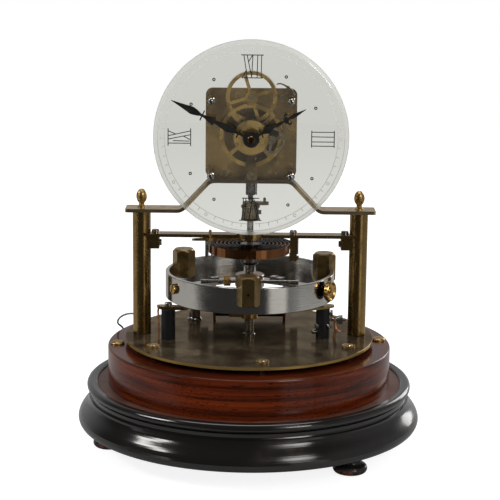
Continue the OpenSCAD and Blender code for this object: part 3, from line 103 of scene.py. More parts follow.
room = bpy.data.worlds.new("room")
bpy.context.scene.world = room
room.use_nodes = True
air = room.node_tree
air.nodes.clear()
ray = air.nodes.new("ShaderNodeLightPath")
where = air.nodes.new("ShaderNodeTexCoord")
split = air.nodes.new("ShaderNodeSeparateXYZ")
air.links.new(where.outputs["Generated"], split.inputs[0])
behind = fade(air, split.outputs["Y"], 0.28, 0.78, low=0.035, high=0.46)
beside = fade(air, split.outputs["X"], 0.55, 0.95, high=0.28)
plain = air.nodes.new("ShaderNodeMix")
plain.data_type = "FLOAT"
plain.inputs["A"].default_value = 0.62
air.links.new(ray.outputs["Is Glossy Ray"], plain.inputs["Factor"])
air.links.new(worked(air, "MAXIMUM", behind, beside), plain.inputs["B"])
shown = worked(air, "MAXIMUM", ray.outputs["Is Camera Ray"], ray.outputs["Is Transmission Ray"])
sky = air.nodes.new("ShaderNodeBackground")
sky.inputs["Color"].default_value = (1, 1, 1, 1)
air.links.new(worked(air, "MAXIMUM", plain.outputs[0], shown), sky.inputs["Strength"])
out = air.nodes.new("ShaderNodeOutputWorld")
air.links.new(sky.outputs[0], out.inputs[0])

# The table top is a plain white sheet. It is white to the camera and through the glass,
# and it keeps the clock's soft shadow.
bpy.ops.object.select_all(action="DESELECT")
bpy.ops.mesh.primitive_plane_add(size=1, location=(-0.4, 0.825, 0))
floor = bpy.context.active_object
floor.name = "table_top"
floor.scale = (1.8, 2.0, 1)
bpy.ops.object.transform_apply(location=True, rotation=True, scale=True)
table_white = bpy.data.materials.new("table_white")
table_white.use_nodes = True
table_tree = table_white.node_tree
paper = table_tree.nodes["Principled BSDF"]
paper.inputs["Base Color"].default_value = (0.36, 0.36, 0.36, 1)
paper.inputs["Roughness"].default_value = 0.9
paper.inputs["Specular IOR Level"].default_value = 0
paper.inputs["Emission Color"].default_value = (1, 1, 1, 1)
seen_as = table_tree.nodes.new("ShaderNodeLightPath")
glow_direct = worked(table_tree, "MULTIPLY", seen_as.outputs["Is Camera Ray"], 0.86)
glow_through = worked(table_tree, "MULTIPLY", seen_as.outputs["Is Transmission Ray"], 0.72)
table_tree.links.new(worked(table_tree, "ADD", glow_direct, glow_through),
                     paper.inputs["Emission Strength"])
floor.data.materials.append(table_white)


# The plinth is turned in one piece, ebonised, and polished to a black gloss that has gone
# faintly brown and duller in patches.
def shader_of(made):
    return made.node_tree.nodes["Principled BSDF"]


def finish_of(name, colour, metal, rough, coat=0.0):
    """Make a material with a plain Principled shader."""
    made = bpy.data.materials.new(name)
    made.use_nodes = True
    made.diffuse_color = (*colour, 1)
    shader = shader_of(made)
    shader.inputs["Base Color"].default_value = (*colour, 1)
    shader.inputs["Metallic"].default_value = metal
    shader.inputs["Roughness"].default_value = rough
    shader.inputs["Coat Weight"].default_value = coat
    shader.inputs["Coat Roughness"].default_value = 0.12
    return made


def dress(material, *names):
    """Give CAD nodes their material."""
    for name in names:
        piece = bpy.data.objects[name]
        piece.data.materials.clear()
        piece.data.materials.append(material)
        piece.active_material = material


def mixed(tree, share, first, second):
    """Mix two colours, each a plain one or a node's output, by share."""
    mix = tree.nodes.new("ShaderNodeMix")
    mix.data_type = "RGBA"
    tree.links.new(share, mix.inputs["Factor"])
    for side, colour in (("A", first), ("B", second)):
        if isinstance(colour, tuple):
            mix.inputs[side].default_value = (*colour, 1)
        else:
            tree.links.new(colour, mix.inputs[side])
    return mix.outputs["Result"]


def cloudy_group():
    """Large soft patches between two colours, and a fine grain for bumps."""
    group = bpy.data.node_groups.new("cloudy_patches", "ShaderNodeTree")
    for label, kind, value in (("Clean", "NodeSocketColor", (0.5, 0.5, 0.5, 1)),
                               ("Aged", "NodeSocketColor", (0.2, 0.2, 0.2, 1)),
                               ("Scale", "NodeSocketFloat", 40.0),
                               ("Low", "NodeSocketFloat", 0.4),
                               ("High", "NodeSocketFloat", 0.65)):
        socket = group.interface.new_socket(name=label, in_out="INPUT", socket_type=kind)
        socket.default_value = value
    for label, kind in (("Color", "NodeSocketColor"), ("Patch", "NodeSocketFloat"),
                        ("Fine", "NodeSocketFloat")):
        group.interface.new_socket(name=label, in_out="OUTPUT", socket_type=kind)
    nodes, link = group.nodes, group.links.new
    enter, leave = nodes.new("NodeGroupInput"), nodes.new("NodeGroupOutput")
    place = nodes.new("ShaderNodeTexCoord")
    big = nodes.new("ShaderNodeTexNoise")
    big.inputs["Detail"].default_value = 6
    big.inputs["Roughness"].default_value = 0.62
    link(place.outputs["Object"], big.inputs["Vector"])
    link(enter.outputs["Scale"], big.inputs["Scale"])
    reach = nodes.new("ShaderNodeMapRange")
    reach.interpolation_type = "SMOOTHSTEP"
    link(big.outputs["Fac"], reach.inputs["Value"])
    link(enter.outputs["Low"], reach.inputs["From Min"])
    link(enter.outputs["High"], reach.inputs["From Max"])
    blend = mixed(group, reach.outputs[0], enter.outputs["Clean"], enter.outputs["Aged"])
    small = nodes.new("ShaderNodeTexNoise")
    small.inputs["Detail"].default_value = 4
    link(place.outputs["Object"], small.inputs["Vector"])
    link(worked(group, "MULTIPLY", enter.outputs["Scale"], 12), small.inputs["Scale"])
    link(blend, leave.inputs["Color"])
    link(reach.outputs[0], leave.inputs["Patch"])
    link(small.outputs["Fac"], leave.inputs["Fine"])
    return group


cloudy = cloudy_group()


def cloud_in(tree, clean, aged, scale, low, high):
    """Place the group of patches in a material."""
    cloud = tree.nodes.new("ShaderNodeGroup")
    cloud.node_tree = cloudy
    cloud.inputs["Clean"].default_value = (*clean, 1)
    cloud.inputs["Aged"].default_value = (*aged, 1)
    cloud.inputs["Scale"].default_value = scale
    cloud.inputs["Low"].default_value = low
    cloud.inputs["High"].default_value = high
    return cloud


def bumped(made, height, strength):
    """Roughen a finish by bumps up to a fifth of a millimetre deep."""
    lumps = made.node_tree.nodes.new("ShaderNodeBump")
    lumps.inputs["Strength"].default_value = strength
    lumps.inputs["Distance"].default_value = 0.0002
    made.node_tree.links.new(height, lumps.inputs["Height"])
    made.node_tree.links.new(lumps.outputs[0], shader_of(made).inputs["Normal"])


def patched(made, clean, aged, scale, low, high, rough, bump=0.0):
    """Colour a finish in clean and aged patches, and give the patched colour."""
    tree = made.node_tree
    cloud = cloud_in(tree, clean, aged, scale, low, high)
    tree.links.new(cloud.outputs["Color"], shader_of(made).inputs["Base Color"])
    gloss = fade(tree, cloud.outputs["Patch"], 0, 1, low=rough[0], high=rough[1], soft=False)
    tree.links.new(gloss, shader_of(made).inputs["Roughness"])
    if bump:
        bumped(made, cloud.outputs["Fine"], bump)
    return cloud.outputs["Color"]


black_polish = finish_of("black_polish", (0.007, 0.0065, 0.006), metal=0, rough=0.2, coat=0.1)
patched(black_polish, (0.007, 0.0065, 0.006), (0.016, 0.012, 0.009), scale=26, low=0.5, high=0.8,
        rough=(0.14, 0.28), bump=0.05)
dress(black_polish, "plinth")


# The three feet are turned and blackened like the plinth, with a thick rounded lip below a
# narrow neck. Near the floor they are rubbed down to the red wood.
def place_along(made, axis):
    """Give the place on a piece along one axis, in metres."""
    place = made.node_tree.nodes.new("ShaderNodeTexCoord")
    parts = made.node_tree.nodes.new("ShaderNodeSeparateXYZ")
    made.node_tree.links.new(place.outputs["Object"], parts.inputs[0])
    return parts.outputs[axis]


def toned(made, share, first, second):
    """Colour a finish by a mix of two colours."""
    tone = mixed(made.node_tree, share, first, second)
    made.node_tree.links.new(tone, shader_of(made).inputs["Base Color"])


foot_black = (0.008, 0.007, 0.006)
foot_wear_starts, foot_wear_full = 0.0046, 0.0026
foot_polish = finish_of("foot_polish", foot_black, metal=0, rough=0.3, coat=0.2)
foot_patches = patched(foot_polish, foot_black, (0.15, 0.035, 0.013), scale=150, low=0.48,
                       high=0.60, rough=(0.25, 0.6), bump=0.1)
foot_worn = fade(foot_polish.node_tree, place_along(foot_polish, "Z"), foot_wear_starts,
                 foot_wear_full)
toned(foot_polish, foot_worn, foot_black, foot_patches)
dress(foot_polish, "bun_feet")


# The drum is a thick disc of mahogany with the grain running from left to right, french
# polished. The thin disc below it is the same wood, dull and reddish with dust.
def noise_at(tree, vector, stretch, detail):
    """Noise whose pattern is finer along an axis where stretch is larger."""
    along = tree.nodes.new("ShaderNodeMapping")
    along.inputs["Scale"].default_value = stretch
    tree.links.new(vector, along.inputs["Vector"])
    noise = tree.nodes.new("ShaderNodeTexNoise")
    noise.inputs["Scale"].default_value = 1.0
    noise.inputs["Detail"].default_value = detail
    tree.links.new(along.outputs[0], noise.inputs["Vector"])
    return noise


def facing_up(made):
    """Give 1 on a level top, 0 on an upright side and -1 underneath."""
    turned = made.node_tree.nodes.new("ShaderNodeNewGeometry")
    parts = made.node_tree.nodes.new("ShaderNodeSeparateXYZ")
    made.node_tree.links.new(turned.outputs["True Normal"], parts.inputs[0])
    return parts.outputs["Z"]


def mahogany_of(name, light, dark, coat, rough, dust, top):
    """Banded wood with fine pores, some dust, and a painted sheen that greys the level top."""
    made = finish_of(name, light, metal=0, rough=rough, coat=coat)
    tree = made.node_tree
    place = tree.nodes.new("ShaderNodeTexCoord")
    bands = noise_at(tree, place.outputs["Object"], (3.5, 26, 300), detail=7)
    bands.inputs["Roughness"].default_value = 0.65
    bands.inputs["Distortion"].default_value = 0.3
    tone = tree.nodes.new("ShaderNodeValToRGB")
    darkest, lightest = tone.color_ramp.elements
    darkest.position, darkest.color = 0.36, (*dark, 1)
    lightest.position, lightest.color = 0.66, (*light, 1)
    tree.links.new(bands.outputs["Fac"], tone.inputs[0])
    fleck = noise_at(tree, place.outputs["Object"], (90, 1400, 1400), detail=3)
    line = fade(tree, fleck.outputs["Fac"], 0.56, 0.7, soft=False)
    wood = mixed(tree, line, tone.outputs[0], (dark[0] * 0.4, dark[1] * 0.4, dark[2] * 0.4))
    powder = cloud_in(tree, (0, 0, 0), (1, 1, 1), scale=35, low=0.35, high=0.8)
    thin = worked(tree, "MULTIPLY", powder.outputs["Patch"], dust)
    dusty = mixed(tree, thin, wood, (0.20, 0.15, 0.12))
    # Painted sheen: by the share top, the level top is painted greyer, as the polish looks there.
    level = fade(tree, facing_up(made), 0, 1, high=top, soft=False)
    toned(made, level, dusty, (dark[0] * 1.6, dark[1] * 2.2, dark[2] * 3))
    bumped(made, fleck.outputs["Fac"], 0.12)
    return made


polished_mahogany = mahogany_of("polished_mahogany", (0.130, 0.0195, 0.0030),
                                (0.020, 0.0030, 0.0009), coat=0, rough=0.17, dust=0.01, top=0.6)
shader_of(polished_mahogany).inputs["Specular IOR Level"].default_value = 0.24
dull_mahogany = mahogany_of("dull_mahogany", (0.105, 0.024, 0.008), (0.045, 0.011, 0.005),
                            coat=0.05, rough=0.5, dust=0.3, top=0)
dress(polished_mahogany, "mahogany_drum")
dress(dull_mahogany, "drum_disc")

# Two domed brass studs stand in the drum's top at the sides, and a finial screws down
# through the bar into each pillar. All four are turned brass that has gone brown.
aged_brass = finish_of("aged_brass", (0.42, 0.28, 0.11), metal=1, rough=0.32)
patched(aged_brass, (0.42, 0.28, 0.110), (0.28, 0.18, 0.072), scale=240, low=0.42, high=0.72,
        rough=(0.34, 0.44))
dress(aged_brass, "drum_studs", "finials")

# The base plate is brass under old lacquer that has gone dark and brown, spotted where damp
# has got through, and still bright enough to mirror what stands on it. Its edge is bare.
plate_lacquer = finish_of("plate_lacquer", (0.11, 0.085, 0.06), metal=0.6, rough=0.26)
plate_patches = patched(plate_lacquer, (0.135, 0.105, 0.066), (0.046, 0.033, 0.021), scale=55,
                        low=0.36, high=0.62, rough=(0.12, 0.24), bump=0.02)
shader_of(plate_lacquer).inputs["Specular IOR Level"].default_value = 0.2
shader_of(plate_lacquer).inputs["Specular Tint"].default_value = (0.55, 0.45, 0.33, 1)
plate_flat = worked(plate_lacquer.node_tree, "ABSOLUTE", facing_up(plate_lacquer))
toned(plate_lacquer, plate_flat, (0.28, 0.18, 0.058), plate_patches)
dress(plate_lacquer, "base_plate")

# Pillars, lugs and crossbar are drawn and turned brass, lacquered long ago and now brown.
# The spring stud, the contact lever and the contact strip have the same skin.
old_brass = finish_of("old_brass", (0.45, 0.29, 0.10), metal=1, rough=0.3)
patched(old_brass, (0.33, 0.215, 0.078), (0.25, 0.160, 0.060), scale=150, low=0.40, high=0.72,
        rough=(0.22, 0.34), bump=0.012)
dress(old_brass, "pillars", "crossbar_lugs", "lower_crossbar", "contact_lever", "terminal_strip")
dress(old_brass, "spring_stud")

# The frame bar is a flat brass strip, bent up to a raised middle, with a greyer skin than
# the pillars. The raised middle, behind the glass, is painted much darker as the shade of
# the movement on it.
bar_shade_starts, bar_shade_full = 0.0315, 0.0265
bar_brass = finish_of("bar_brass", (0.30, 0.22, 0.12), metal=1, rough=0.35)
bar_patches = patched(bar_brass, (0.50, 0.375, 0.215), (0.36, 0.260, 0.145), scale=160, low=0.4,
                      high=0.68, rough=(0.28, 0.42), bump=0.02)
bar_across = worked(bar_brass.node_tree, "ABSOLUTE", place_along(bar_brass, "X"))
# Painted shade: the middle of the bar is darkened where the movement shades it.
bar_painted_shade = fade(bar_brass.node_tree, bar_across, bar_shade_starts, bar_shade_full)
toned(bar_brass, bar_painted_shade, bar_patches, (0.10, 0.070, 0.036))
dress(bar_brass, "frame_bar")

# The four levelling screws are turned brass with milled heads. They turn in the base plate,
# stand on the drum, and are paler than the plate.
screw_brass = finish_of("screw_brass", (0.66, 0.49, 0.24), metal=1, rough=0.36)
patched(screw_brass, (0.66, 0.49, 0.24), (0.34, 0.235, 0.105), scale=420, low=0.45, high=0.72,
        rough=(0.30, 0.42), bump=0.02)
dress(screw_brass, "levelling_screw_front", "levelling_screw_left", "levelling_screw_right",
      "levelling_screw_back")

# The toggle collar is brass, still bright, and sits on the balance arbor. The toggle's
# small steel blade trails from the pin on its arm.
polished_brass = finish_of("polished_brass", (0.62, 0.38, 0.12), metal=1, rough=0.25)
patched(polished_brass, (0.60, 0.375, 0.12), (0.30, 0.175, 0.06), scale=260, low=0.42, high=0.68,
        rough=(0.18, 0.36), bump=0.05)
dress(polished_brass, "toggle_collar")

# The dished timing nut is turned brass, bright outside. Its back, towards the rim, is
# painted dark as shade, which the polished rim mirrors as a dark disc. The stem it runs on
# points out from the balance, front and right.
nut_stem_way = (0.866, -0.5, 0)
nut_shade_starts, nut_shade_full = 0.0591, 0.0583
nut_brass = finish_of("nut_brass", (0.56, 0.36, 0.12), metal=1, rough=0.28)
nut_patches = patched(nut_brass, (0.56, 0.36, 0.12), (0.34, 0.21, 0.075), scale=240, low=0.42,
                      high=0.72, rough=(0.24, 0.36), bump=0.01)
nut_tree = nut_brass.node_tree
nut_place = nut_tree.nodes.new("ShaderNodeTexCoord")
nut_out = nut_tree.nodes.new("ShaderNodeVectorMath")
nut_out.operation = "DOT_PRODUCT"
nut_out.inputs[1].default_value = nut_stem_way
nut_tree.links.new(nut_place.outputs["Object"], nut_out.inputs[0])
# Painted shade: the nut's back, towards the rim, is darkened.
nut_painted_shade = fade(nut_tree, nut_out.outputs["Value"], nut_shade_starts, nut_shade_full, soft=False)
toned(nut_brass, nut_painted_shade, nut_patches, (0.035, 0.025, 0.016))
dress(nut_brass, "timing_nut")

# The index is a brass ring on the crossbar's spigot, with a long pointer. The pin and the
# thick key below it, between which the spring's outer turn runs, are steel.
pins_from, pins_below = 0.1372, 0.1370
index_brass = finish_of("index_brass", (0.46, 0.32, 0.14), metal=1, rough=0.3)
index_patches = patched(index_brass, (0.46, 0.32, 0.14), (0.34, 0.235, 0.105), scale=240,
                        low=0.42, high=0.72, rough=(0.24, 0.36), bump=0.01)
index_pins = fade(index_brass.node_tree, place_along(index_brass, "Z"), pins_from, pins_below,
                  soft=False)
toned(index_brass, index_pins, index_patches, (0.30, 0.295, 0.28))
dress(index_brass, "regulator")

# Two screws hold the rim to its spokes. They, the timing nut's stem and the tie rod's
# six-sided nut are brass, a little duller than the timing nut.
rim_screw_brass = finish_of("rim_screw_brass", (0.50, 0.33, 0.12), metal=1, rough=0.28)
patched(rim_screw_brass, (0.50, 0.33, 0.12), (0.30, 0.195, 0.075), scale=240, low=0.42,
        high=0.72, rough=(0.22, 0.36), bump=0.02)
dress(rim_screw_brass, "balance_screws")

# Screws, posts, rods and small levers of nickel or plain steel are turned or filed, and
# left bright. The magnet's iron and the upper bearing are dark.
bright_steel = finish_of("bright_steel", (0.52, 0.50, 0.46), metal=1, rough=0.25)
patched(bright_steel, (0.44, 0.42, 0.385), (0.24, 0.22, 0.195), scale=150, low=0.42, high=0.70,
        rough=(0.18, 0.34), bump=0.05)
dress(bright_steel, "frame_screws", "foot_bearing", "terminal_rod", "terminal_nut",
      "terminal_screws", "magnet_pillar", "spoke_fittings", "toggle", "click_spring",
      "gathering_lever")
dark_steel = finish_of("dark_steel", (0.14, 0.13, 0.12), metal=1, rough=0.35)
patched(dark_steel, (0.16, 0.15, 0.14), (0.06, 0.05, 0.045), scale=150, low=0.42, high=0.7,
        rough=(0.25, 0.45), bump=0.05)
dress(dark_steel, "upper_bearing", "armature", "magnet_core")

# The balance arbor is turned steel. Its upward faces, such as the top of the collet under
# the spring, are painted dark as shade.
arbor_steel = finish_of("arbor_steel", (0.42, 0.40, 0.37), metal=1, rough=0.28)
arbor_patches = patched(arbor_steel, (0.42, 0.40, 0.37), (0.26, 0.24, 0.215), scale=150,
                        low=0.42, high=0.70, rough=(0.2, 0.34), bump=0.02)
# Painted shade: faces that look up are darkened.
toned(arbor_steel, facing_up(arbor_steel), arbor_patches, (0.022, 0.019, 0.016))
dress(arbor_steel, "balance_arbor")

# The two ebonite posts are black hard rubber, turned and polished. They stand on the base
# plate and insulate the contacts from it.
hard_rubber = finish_of("hard_rubber", (0.008, 0.008, 0.009), metal=0, rough=0.3)
patched(hard_rubber, (0.010, 0.010, 0.011), (0.013, 0.012, 0.011), scale=120, low=0.45,
        high=0.7, rough=(0.34, 0.46), bump=0.05)
shader_of(hard_rubber).inputs["Specular IOR Level"].default_value = 0.16
dress(hard_rubber, "ebonite_posts")

# The coil is wound with black silk-covered wire, drawn as one solid, between two cheeks
# cut from red vulcanised fibre.
winding = finish_of("winding", (0.016, 0.014, 0.014), metal=0, rough=0.55)
patched(winding, (0.020, 0.017, 0.016), (0.008, 0.007, 0.007), scale=200, low=0.4, high=0.6,
        rough=(0.45, 0.65), bump=0.3)
red_fibre = finish_of("red_fibre", (0.11, 0.025, 0.013), metal=0, rough=0.45)
patched(red_fibre, (0.12, 0.028, 0.014), (0.06, 0.014, 0.008), scale=150, low=0.4, high=0.65,
        rough=(0.35, 0.55), bump=0.1)
dress(winding, "magnet_coil")
dress(red_fibre, "coil_cheeks")

# Four domed nuts hold the dial on its corner posts. They are turned, nickel plated, bright
# and smooth.
nickel_dome = finish_of("nickel_dome", (0.40, 0.385, 0.35), metal=1, rough=0.12)
patched(nickel_dome, (0.40, 0.385, 0.35), (0.30, 0.28, 0.25), scale=200, low=0.5, high=0.75,
        rough=(0.08, 0.16), bump=0.02)
dress(nickel_dome, "dial_nuts")

# The balance rim is steel, turned true and left bright from the lathe, so fine lines run
# round it.
turned_steel = finish_of("turned_steel", (0.60, 0.58, 0.54), metal=1, rough=0.24)
patched(turned_steel, (0.56, 0.54, 0.50), (0.44, 0.42, 0.385), scale=45, low=0.45, high=0.75,
        rough=(0.13, 0.22))
rim_tree = turned_steel.node_tree
rim_place = rim_tree.nodes.new("ShaderNodeTexCoord")
rim_parts = rim_tree.nodes.new("ShaderNodeSeparateXYZ")
rim_tree.links.new(rim_place.outputs["Object"], rim_parts.inputs[0])
rim_round = worked(rim_tree, "ARCTAN2", rim_parts.outputs["Y"], rim_parts.outputs["X"])
rim_way = rim_tree.nodes.new("ShaderNodeCombineXYZ")
rim_tree.links.new(rim_round, rim_way.inputs["X"])
rim_tree.links.new(rim_parts.outputs["Z"], rim_way.inputs["Z"])
rim_lines = noise_at(rim_tree, rim_way.outputs[0], (2.5, 1, 2600), detail=3)
bumped(turned_steel, rim_lines.outputs["Fac"], 0.22)
dress(turned_steel, "balance_rim")


# Hub and spokes are filed from the same steel and carry the rim. Round the arbor, the hub
# has gone brown.
def far_from_axis(made, keep, move=(0, 0, 0)):
    """Give the distance from an axis: keep is 0 along it, and move brings it to 0."""
    tree = made.node_tree
    place = tree.nodes.new("ShaderNodeTexCoord")
    flat = tree.nodes.new("ShaderNodeMapping")
    flat.inputs["Location"].default_value = move
    flat.inputs["Scale"].default_value = keep
    tree.links.new(place.outputs["Object"], flat.inputs["Vector"])
    far = tree.nodes.new("ShaderNodeVectorMath")
    far.operation = "LENGTH"
    tree.links.new(flat.outputs[0], far.inputs[0])
    return far.outputs["Value"]


hub_brown_starts, hub_brown_full = 0.0105, 0.0088
hub_steel = finish_of("hub_steel", (0.5, 0.48, 0.44), metal=1, rough=0.28)
hub_patches = patched(hub_steel, (0.52, 0.50, 0.46), (0.36, 0.34, 0.30), scale=90, low=0.45,
                      high=0.75, rough=(0.2, 0.34), bump=0.05)
hub_near = fade(hub_steel.node_tree, far_from_axis(hub_steel, keep=(1, 1, 0)), hub_brown_starts,
                hub_brown_full)
toned(hub_steel, hub_near, hub_patches, (0.19, 0.115, 0.072))
dress(hub_steel, "balance_spokes")

# Three hexagonal brass weights straddle the rim. They are sawn from bar and brown with age.
weight_brass = finish_of("weight_brass", (0.36, 0.26, 0.11), metal=1, rough=0.35)
patched(weight_brass, (0.31, 0.210, 0.084), (0.18, 0.118, 0.050), scale=170, low=0.42,
        high=0.68, rough=(0.28, 0.44), bump=0.05)
dress(weight_brass, "rim_weights")

# The spiral spring is a flat strip from its stud in to the collet. Its sides show
# copper-brown, and its upper and lower edges are painted dark as the shade between the turns.
spring_metal = finish_of("spring_metal", (0.42, 0.17, 0.07), metal=1, rough=0.18)
spring_edge_shade = worked(spring_metal.node_tree, "ABSOLUTE", facing_up(spring_metal))
# Painted shade: the upper and lower edges are darker than the copper-brown sides.
toned(spring_metal, spring_edge_shade, (0.24, 0.100, 0.040), (0.026, 0.021, 0.018))
dress(spring_metal, "balance_spring")

# The movement's plate, cock, feet and posts and its click are brass, mellow and a little
# brown. Round the hands' axis the plate is darkened: partly an oil stain, partly painted
# shade under the centre wheel.
DIAL_Z = 0.2057
stain_and_shade_starts, stain_and_shade_full = 0.0215, 0.0155
movement_brass = finish_of("movement_brass", (0.26, 0.19, 0.10), metal=1, rough=0.32)
movement_patches = patched(movement_brass, (0.34, 0.228, 0.100), (0.14, 0.090, 0.038), scale=44,
                           low=0.36, high=0.64, rough=(0.24, 0.40), bump=0.03)
# Partly oil stain, partly painted shade: the plate darkens round the hands' axis.
stain_and_shade_far = far_from_axis(movement_brass, keep=(1, 0, 1), move=(0, 0, -DIAL_Z))
stain_and_shade_near = fade(movement_brass.node_tree, stain_and_shade_far, stain_and_shade_starts, stain_and_shade_full, high=0.75)
toned(movement_brass, stain_and_shade_near, movement_patches, (0.050, 0.032, 0.016))
dress(movement_brass, "movement_plate", "hand_cock", "plate_feet", "corner_posts", "click")

# The hour wheel, with its pipe through the glass, and the ratchet-toothed count wheel are
# brass, and brighter than the plate.
wheel_clean, wheel_aged = (0.56, 0.375, 0.130), (0.32, 0.205, 0.072)
wheel_brass = finish_of("wheel_brass", (0.50, 0.345, 0.13), metal=1, rough=0.3)
patched(wheel_brass, wheel_clean, wheel_aged, scale=90, low=0.40, high=0.66, rough=(0.20, 0.36),
        bump=0.02)
dress(wheel_brass, "hour_wheel", "count_wheel")

# The centre wheel is the same brass. The end of its arbor, which comes through the glass
# and carries the minute hand, is burnt brown.
arbor_end_starts, arbor_end_full = -0.0130, -0.0136
centre_brass = finish_of("centre_brass", (0.50, 0.345, 0.13), metal=1, rough=0.3)
centre_patches = patched(centre_brass, wheel_clean, wheel_aged, scale=90, low=0.40, high=0.66,
                         rough=(0.20, 0.36), bump=0.02)
centre_front = fade(centre_brass.node_tree, place_along(centre_brass, "Y"), arbor_end_starts,
                    arbor_end_full, soft=False)
toned(centre_brass, centre_front, centre_patches, (0.15, 0.088, 0.040))
dress(centre_brass, "centre_wheel")

# The movement's screws, the drive drum and the motion wheel have a dark, greyish-brown
# skin.
brown_steel = finish_of("brown_steel", (0.24, 0.19, 0.13), metal=1, rough=0.35)
patched(brown_steel, (0.27, 0.215, 0.145), (0.14, 0.105, 0.070), scale=140, low=0.42, high=0.7,
        rough=(0.24, 0.42), bump=0.05)
dress(brown_steel, "movement_screws", "motion_wheel", "drive_drum")

# The hands are steel, filed to an outline and blackened. They turn in front of the glass,
# behind the nut on the centre arbor.
black_hands = finish_of("black_hands", (0.008, 0.008, 0.008), metal=0, rough=0.4)
patched(black_hands, (0.007, 0.007, 0.007), (0.016, 0.015, 0.014), scale=200, low=0.45,
        high=0.7, rough=(0.32, 0.5), bump=0.05)
dress(black_hands, "minute_hand", "hour_hand")

# The dial is a disc of plate glass, a little grey and smoky, with a finely ground bevel.
# The domed nuts hold it in front of the movement.
bevel_starts, bevel_full = 0.0612, 0.0616
plate_glass = finish_of("plate_glass", (0.62, 0.622, 0.585), metal=0, rough=0.0)
shader_of(plate_glass).inputs["Transmission Weight"].default_value = 1
shader_of(plate_glass).inputs["IOR"].default_value = 1.45
shader_of(plate_glass).inputs["Specular IOR Level"].default_value = 0.05
glass_far = far_from_axis(plate_glass, keep=(1, 0, 1), move=(0, 0, -DIAL_Z))
ground = fade(plate_glass.node_tree, glass_far, bevel_starts, bevel_full, high=0.4, soft=False)
plate_glass.node_tree.links.new(ground, shader_of(plate_glass).inputs["Roughness"])
dress(plate_glass, "dial_glass")

# Hour numerals are painted on the front of the glass in thin strokes, their feet to the
# middle. A stroke's two ends are given in mm sideways and in metres out from the middle.
FRAME = "clock_frame"
FACE_Y = -0.01303
PAINT_THICK = 0.00004


def stroke(parts, angle, a, b, thick):
    up = Vector((math.sin(angle), 0, math.cos(angle)))
    side = Vector((math.cos(angle), 0, -math.sin(angle)))
    start = side * a[0] + up * a[1]
    end = side * b[0] + up * b[1]
    way = end - start
    middle = (start + end) / 2
    bpy.ops.mesh.primitive_cube_add(size=1, location=(middle.x, FACE_Y, DIAL_Z + middle.z),
                                    rotation=(0, math.atan2(way.x, way.z), 0),
                                    scale=(thick, PAINT_THICK, way.length + thick))
    parts.append(bpy.context.active_object)


def one_piece(parts, name, material):
    bpy.ops.object.select_all(action="DESELECT")
    for part in parts:
        part.select_set(True)
    bpy.context.view_layer.objects.active = parts[0]
    bpy.ops.object.join()
    bpy.ops.object.transform_apply(location=True, rotation=True, scale=True)
    piece = bpy.context.active_object
    piece.name = name
    piece.data.materials.clear()
    piece.data.materials.append(material)
    return piece


black_paint = finish_of("black_paint", (0.016, 0.016, 0.016), metal=0, rough=0.5)
patched(black_paint, (0.012, 0.012, 0.012), (0.06, 0.06, 0.058), scale=700, low=0.5, high=0.75,
        rough=(0.4, 0.6))
IN, OUT = 0.0391, 0.0537
SERIF_THICK, STEM_THICK = 0.00058, 0.00054
SERIFS = 2
numerals = {
    0: [(-6.6, OUT, 7.2, OUT), (-6.2, IN, 6.8, IN), (-5.2, OUT, -2.9, IN), (-3.1, OUT, 0.0, IN),
        (0.4, OUT, -2.1, OUT - 0.0042), (0.6, OUT, -0.1, IN), (-3.5, OUT - 0.0095, -6.0, IN),
        (3.7, OUT, 3.4, IN), (6.2, OUT, 6.0, IN)],
    90: [(-5.2, OUT, 5.2, OUT), (-5.2, IN, 5.2, IN), (-4.5, OUT, -4.5, IN), (-1.4, OUT, -1.5, IN),
         (1.8, OUT, 1.8, IN), (4.6, OUT, 4.5, IN)],
    180: [(-7.0, OUT, 7.0, OUT), (-5.4, IN, 5.4, IN), (-6.2, OUT, -2.0, IN), (-4.9, OUT, -1.2, IN),
          (1.0, OUT, -1.5, IN), (3.6, OUT, 3.0, IN), (5.6, OUT, 4.6, IN)],
    270: [(-5.0, OUT, 5.8, OUT), (-5.1, IN, 5.9, IN), (-3.5, OUT, -3.5, IN), (-0.9, OUT, 2.1, IN),
          (1.3, OUT, 4.5, IN), (4.5, OUT, 2.4, OUT - 0.005), (1.1, IN + 0.0046, -1.0, IN + 0.0006),
          (-1.9, OUT - 0.0035, -2.1, IN + 0.001)],
}
drawn = []
bpy.ops.object.select_all(action="DESELECT")
for degrees, strokes in numerals.items():
    for count, (a, ra, b, rb) in enumerate(strokes):
        stroke(drawn, math.radians(degrees), (a / 1000, ra), (b / 1000, rb),
               SERIF_THICK if count < SERIFS else STEM_THICK)
hour_numerals = one_piece(drawn, "hour_numerals", black_paint)
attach(hour_numerals, FRAME)


# The other hours are small painted rings, each with a clear eye. Their places are in mm
# from the middle of the dial.
def ring(parts, x, z, radius, thick, around, across, flat):
    bpy.ops.mesh.primitive_torus_add(major_segments=around, minor_segments=across,
                                     major_radius=radius, minor_radius=thick,
                                     location=(x, FACE_Y, DIAL_Z + z),
                                     rotation=(math.pi / 2, 0, 0))
    parts.append(bpy.context.active_object)
    parts[-1].scale = (1, 1, flat)


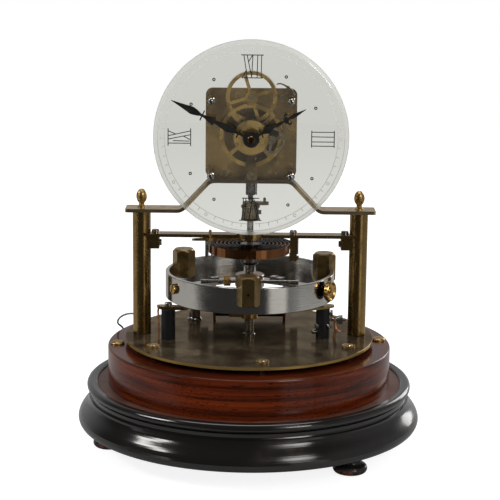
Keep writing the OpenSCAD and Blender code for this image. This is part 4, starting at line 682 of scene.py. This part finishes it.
ring_places = [(22.1, 39.9), (41.4, 20.0), (39.7, -25.8), (24.4, -43.3), (-23.8, -40.1),
               (-39.3, -23.2), (-38.9, 21.8), (-24.3, 37.8)]
rings = []
for x, z in ring_places:
    ring(rings, x / 1000, z / 1000, radius=0.00075, thick=0.00034, around=20, across=6, flat=0.08)
hour_rings = one_piece(rings, "hour_rings", black_paint)
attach(hour_rings, FRAME)

# The minute track is etched very thin: two circles with a tick for each minute between
# them, and a small ring at every fifth one. Its upper half is painted lighter and its lower
# half darker, as painted light on the etched lines.
etched_dark_z, etched_light_z = 0.185, 0.225
etched = finish_of("etched_lines", (0.30, 0.30, 0.28), metal=0, rough=0.6)
# Painted light: the track is lighter in its upper half and darker in its lower half.
etched_painted_light = fade(etched.node_tree, place_along(etched, "Z"), etched_dark_z, etched_light_z)
toned(etched, etched_painted_light, (0.30, 0.30, 0.275), (0.66, 0.66, 0.63))
TICK_IN, TICK_OUT, TICK_THICK = 0.0562, 0.0582, 0.00034
FIFTH_OUT = 0.0579
track = []
for radius in (0.0561, 0.0606):
    ring(track, 0, 0, radius=radius, thick=0.00014, around=180, across=4, flat=0.2)
for minute in range(60):
    angle = math.radians(minute * 6)
    if minute % 5:
        stroke(track, angle, (0, TICK_IN), (0, TICK_OUT), TICK_THICK)
    else:
        ring(track, FIFTH_OUT * math.sin(angle), FIFTH_OUT * math.cos(angle), radius=0.0009,
             thick=0.00016, around=16, across=4, flat=0.2)
minute_track = one_piece(track, "minute_track", etched)
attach(minute_track, FRAME)

# Wires: a bare brown one hangs at each contact post, and a grey covered one goes over the
# drum's edge, down into the groove of the plinth.
brown_wire = finish_of("brown_wire", (0.10, 0.04, 0.02), metal=0.6, rough=0.4)
patched(brown_wire, (0.34, 0.150, 0.065), (0.16, 0.070, 0.035), scale=300, low=0.4, high=0.65,
        rough=(0.3, 0.5), bump=0.2)
grey_wire = finish_of("grey_wire", (0.10, 0.11, 0.12), metal=0, rough=0.45)
patched(grey_wire, (0.20, 0.215, 0.23), (0.09, 0.096, 0.103), scale=300, low=0.4, high=0.65,
        rough=(0.35, 0.55), bump=0.2)
dress(brown_wire, "hookup_wires")
dress(grey_wire, "lead_wire")
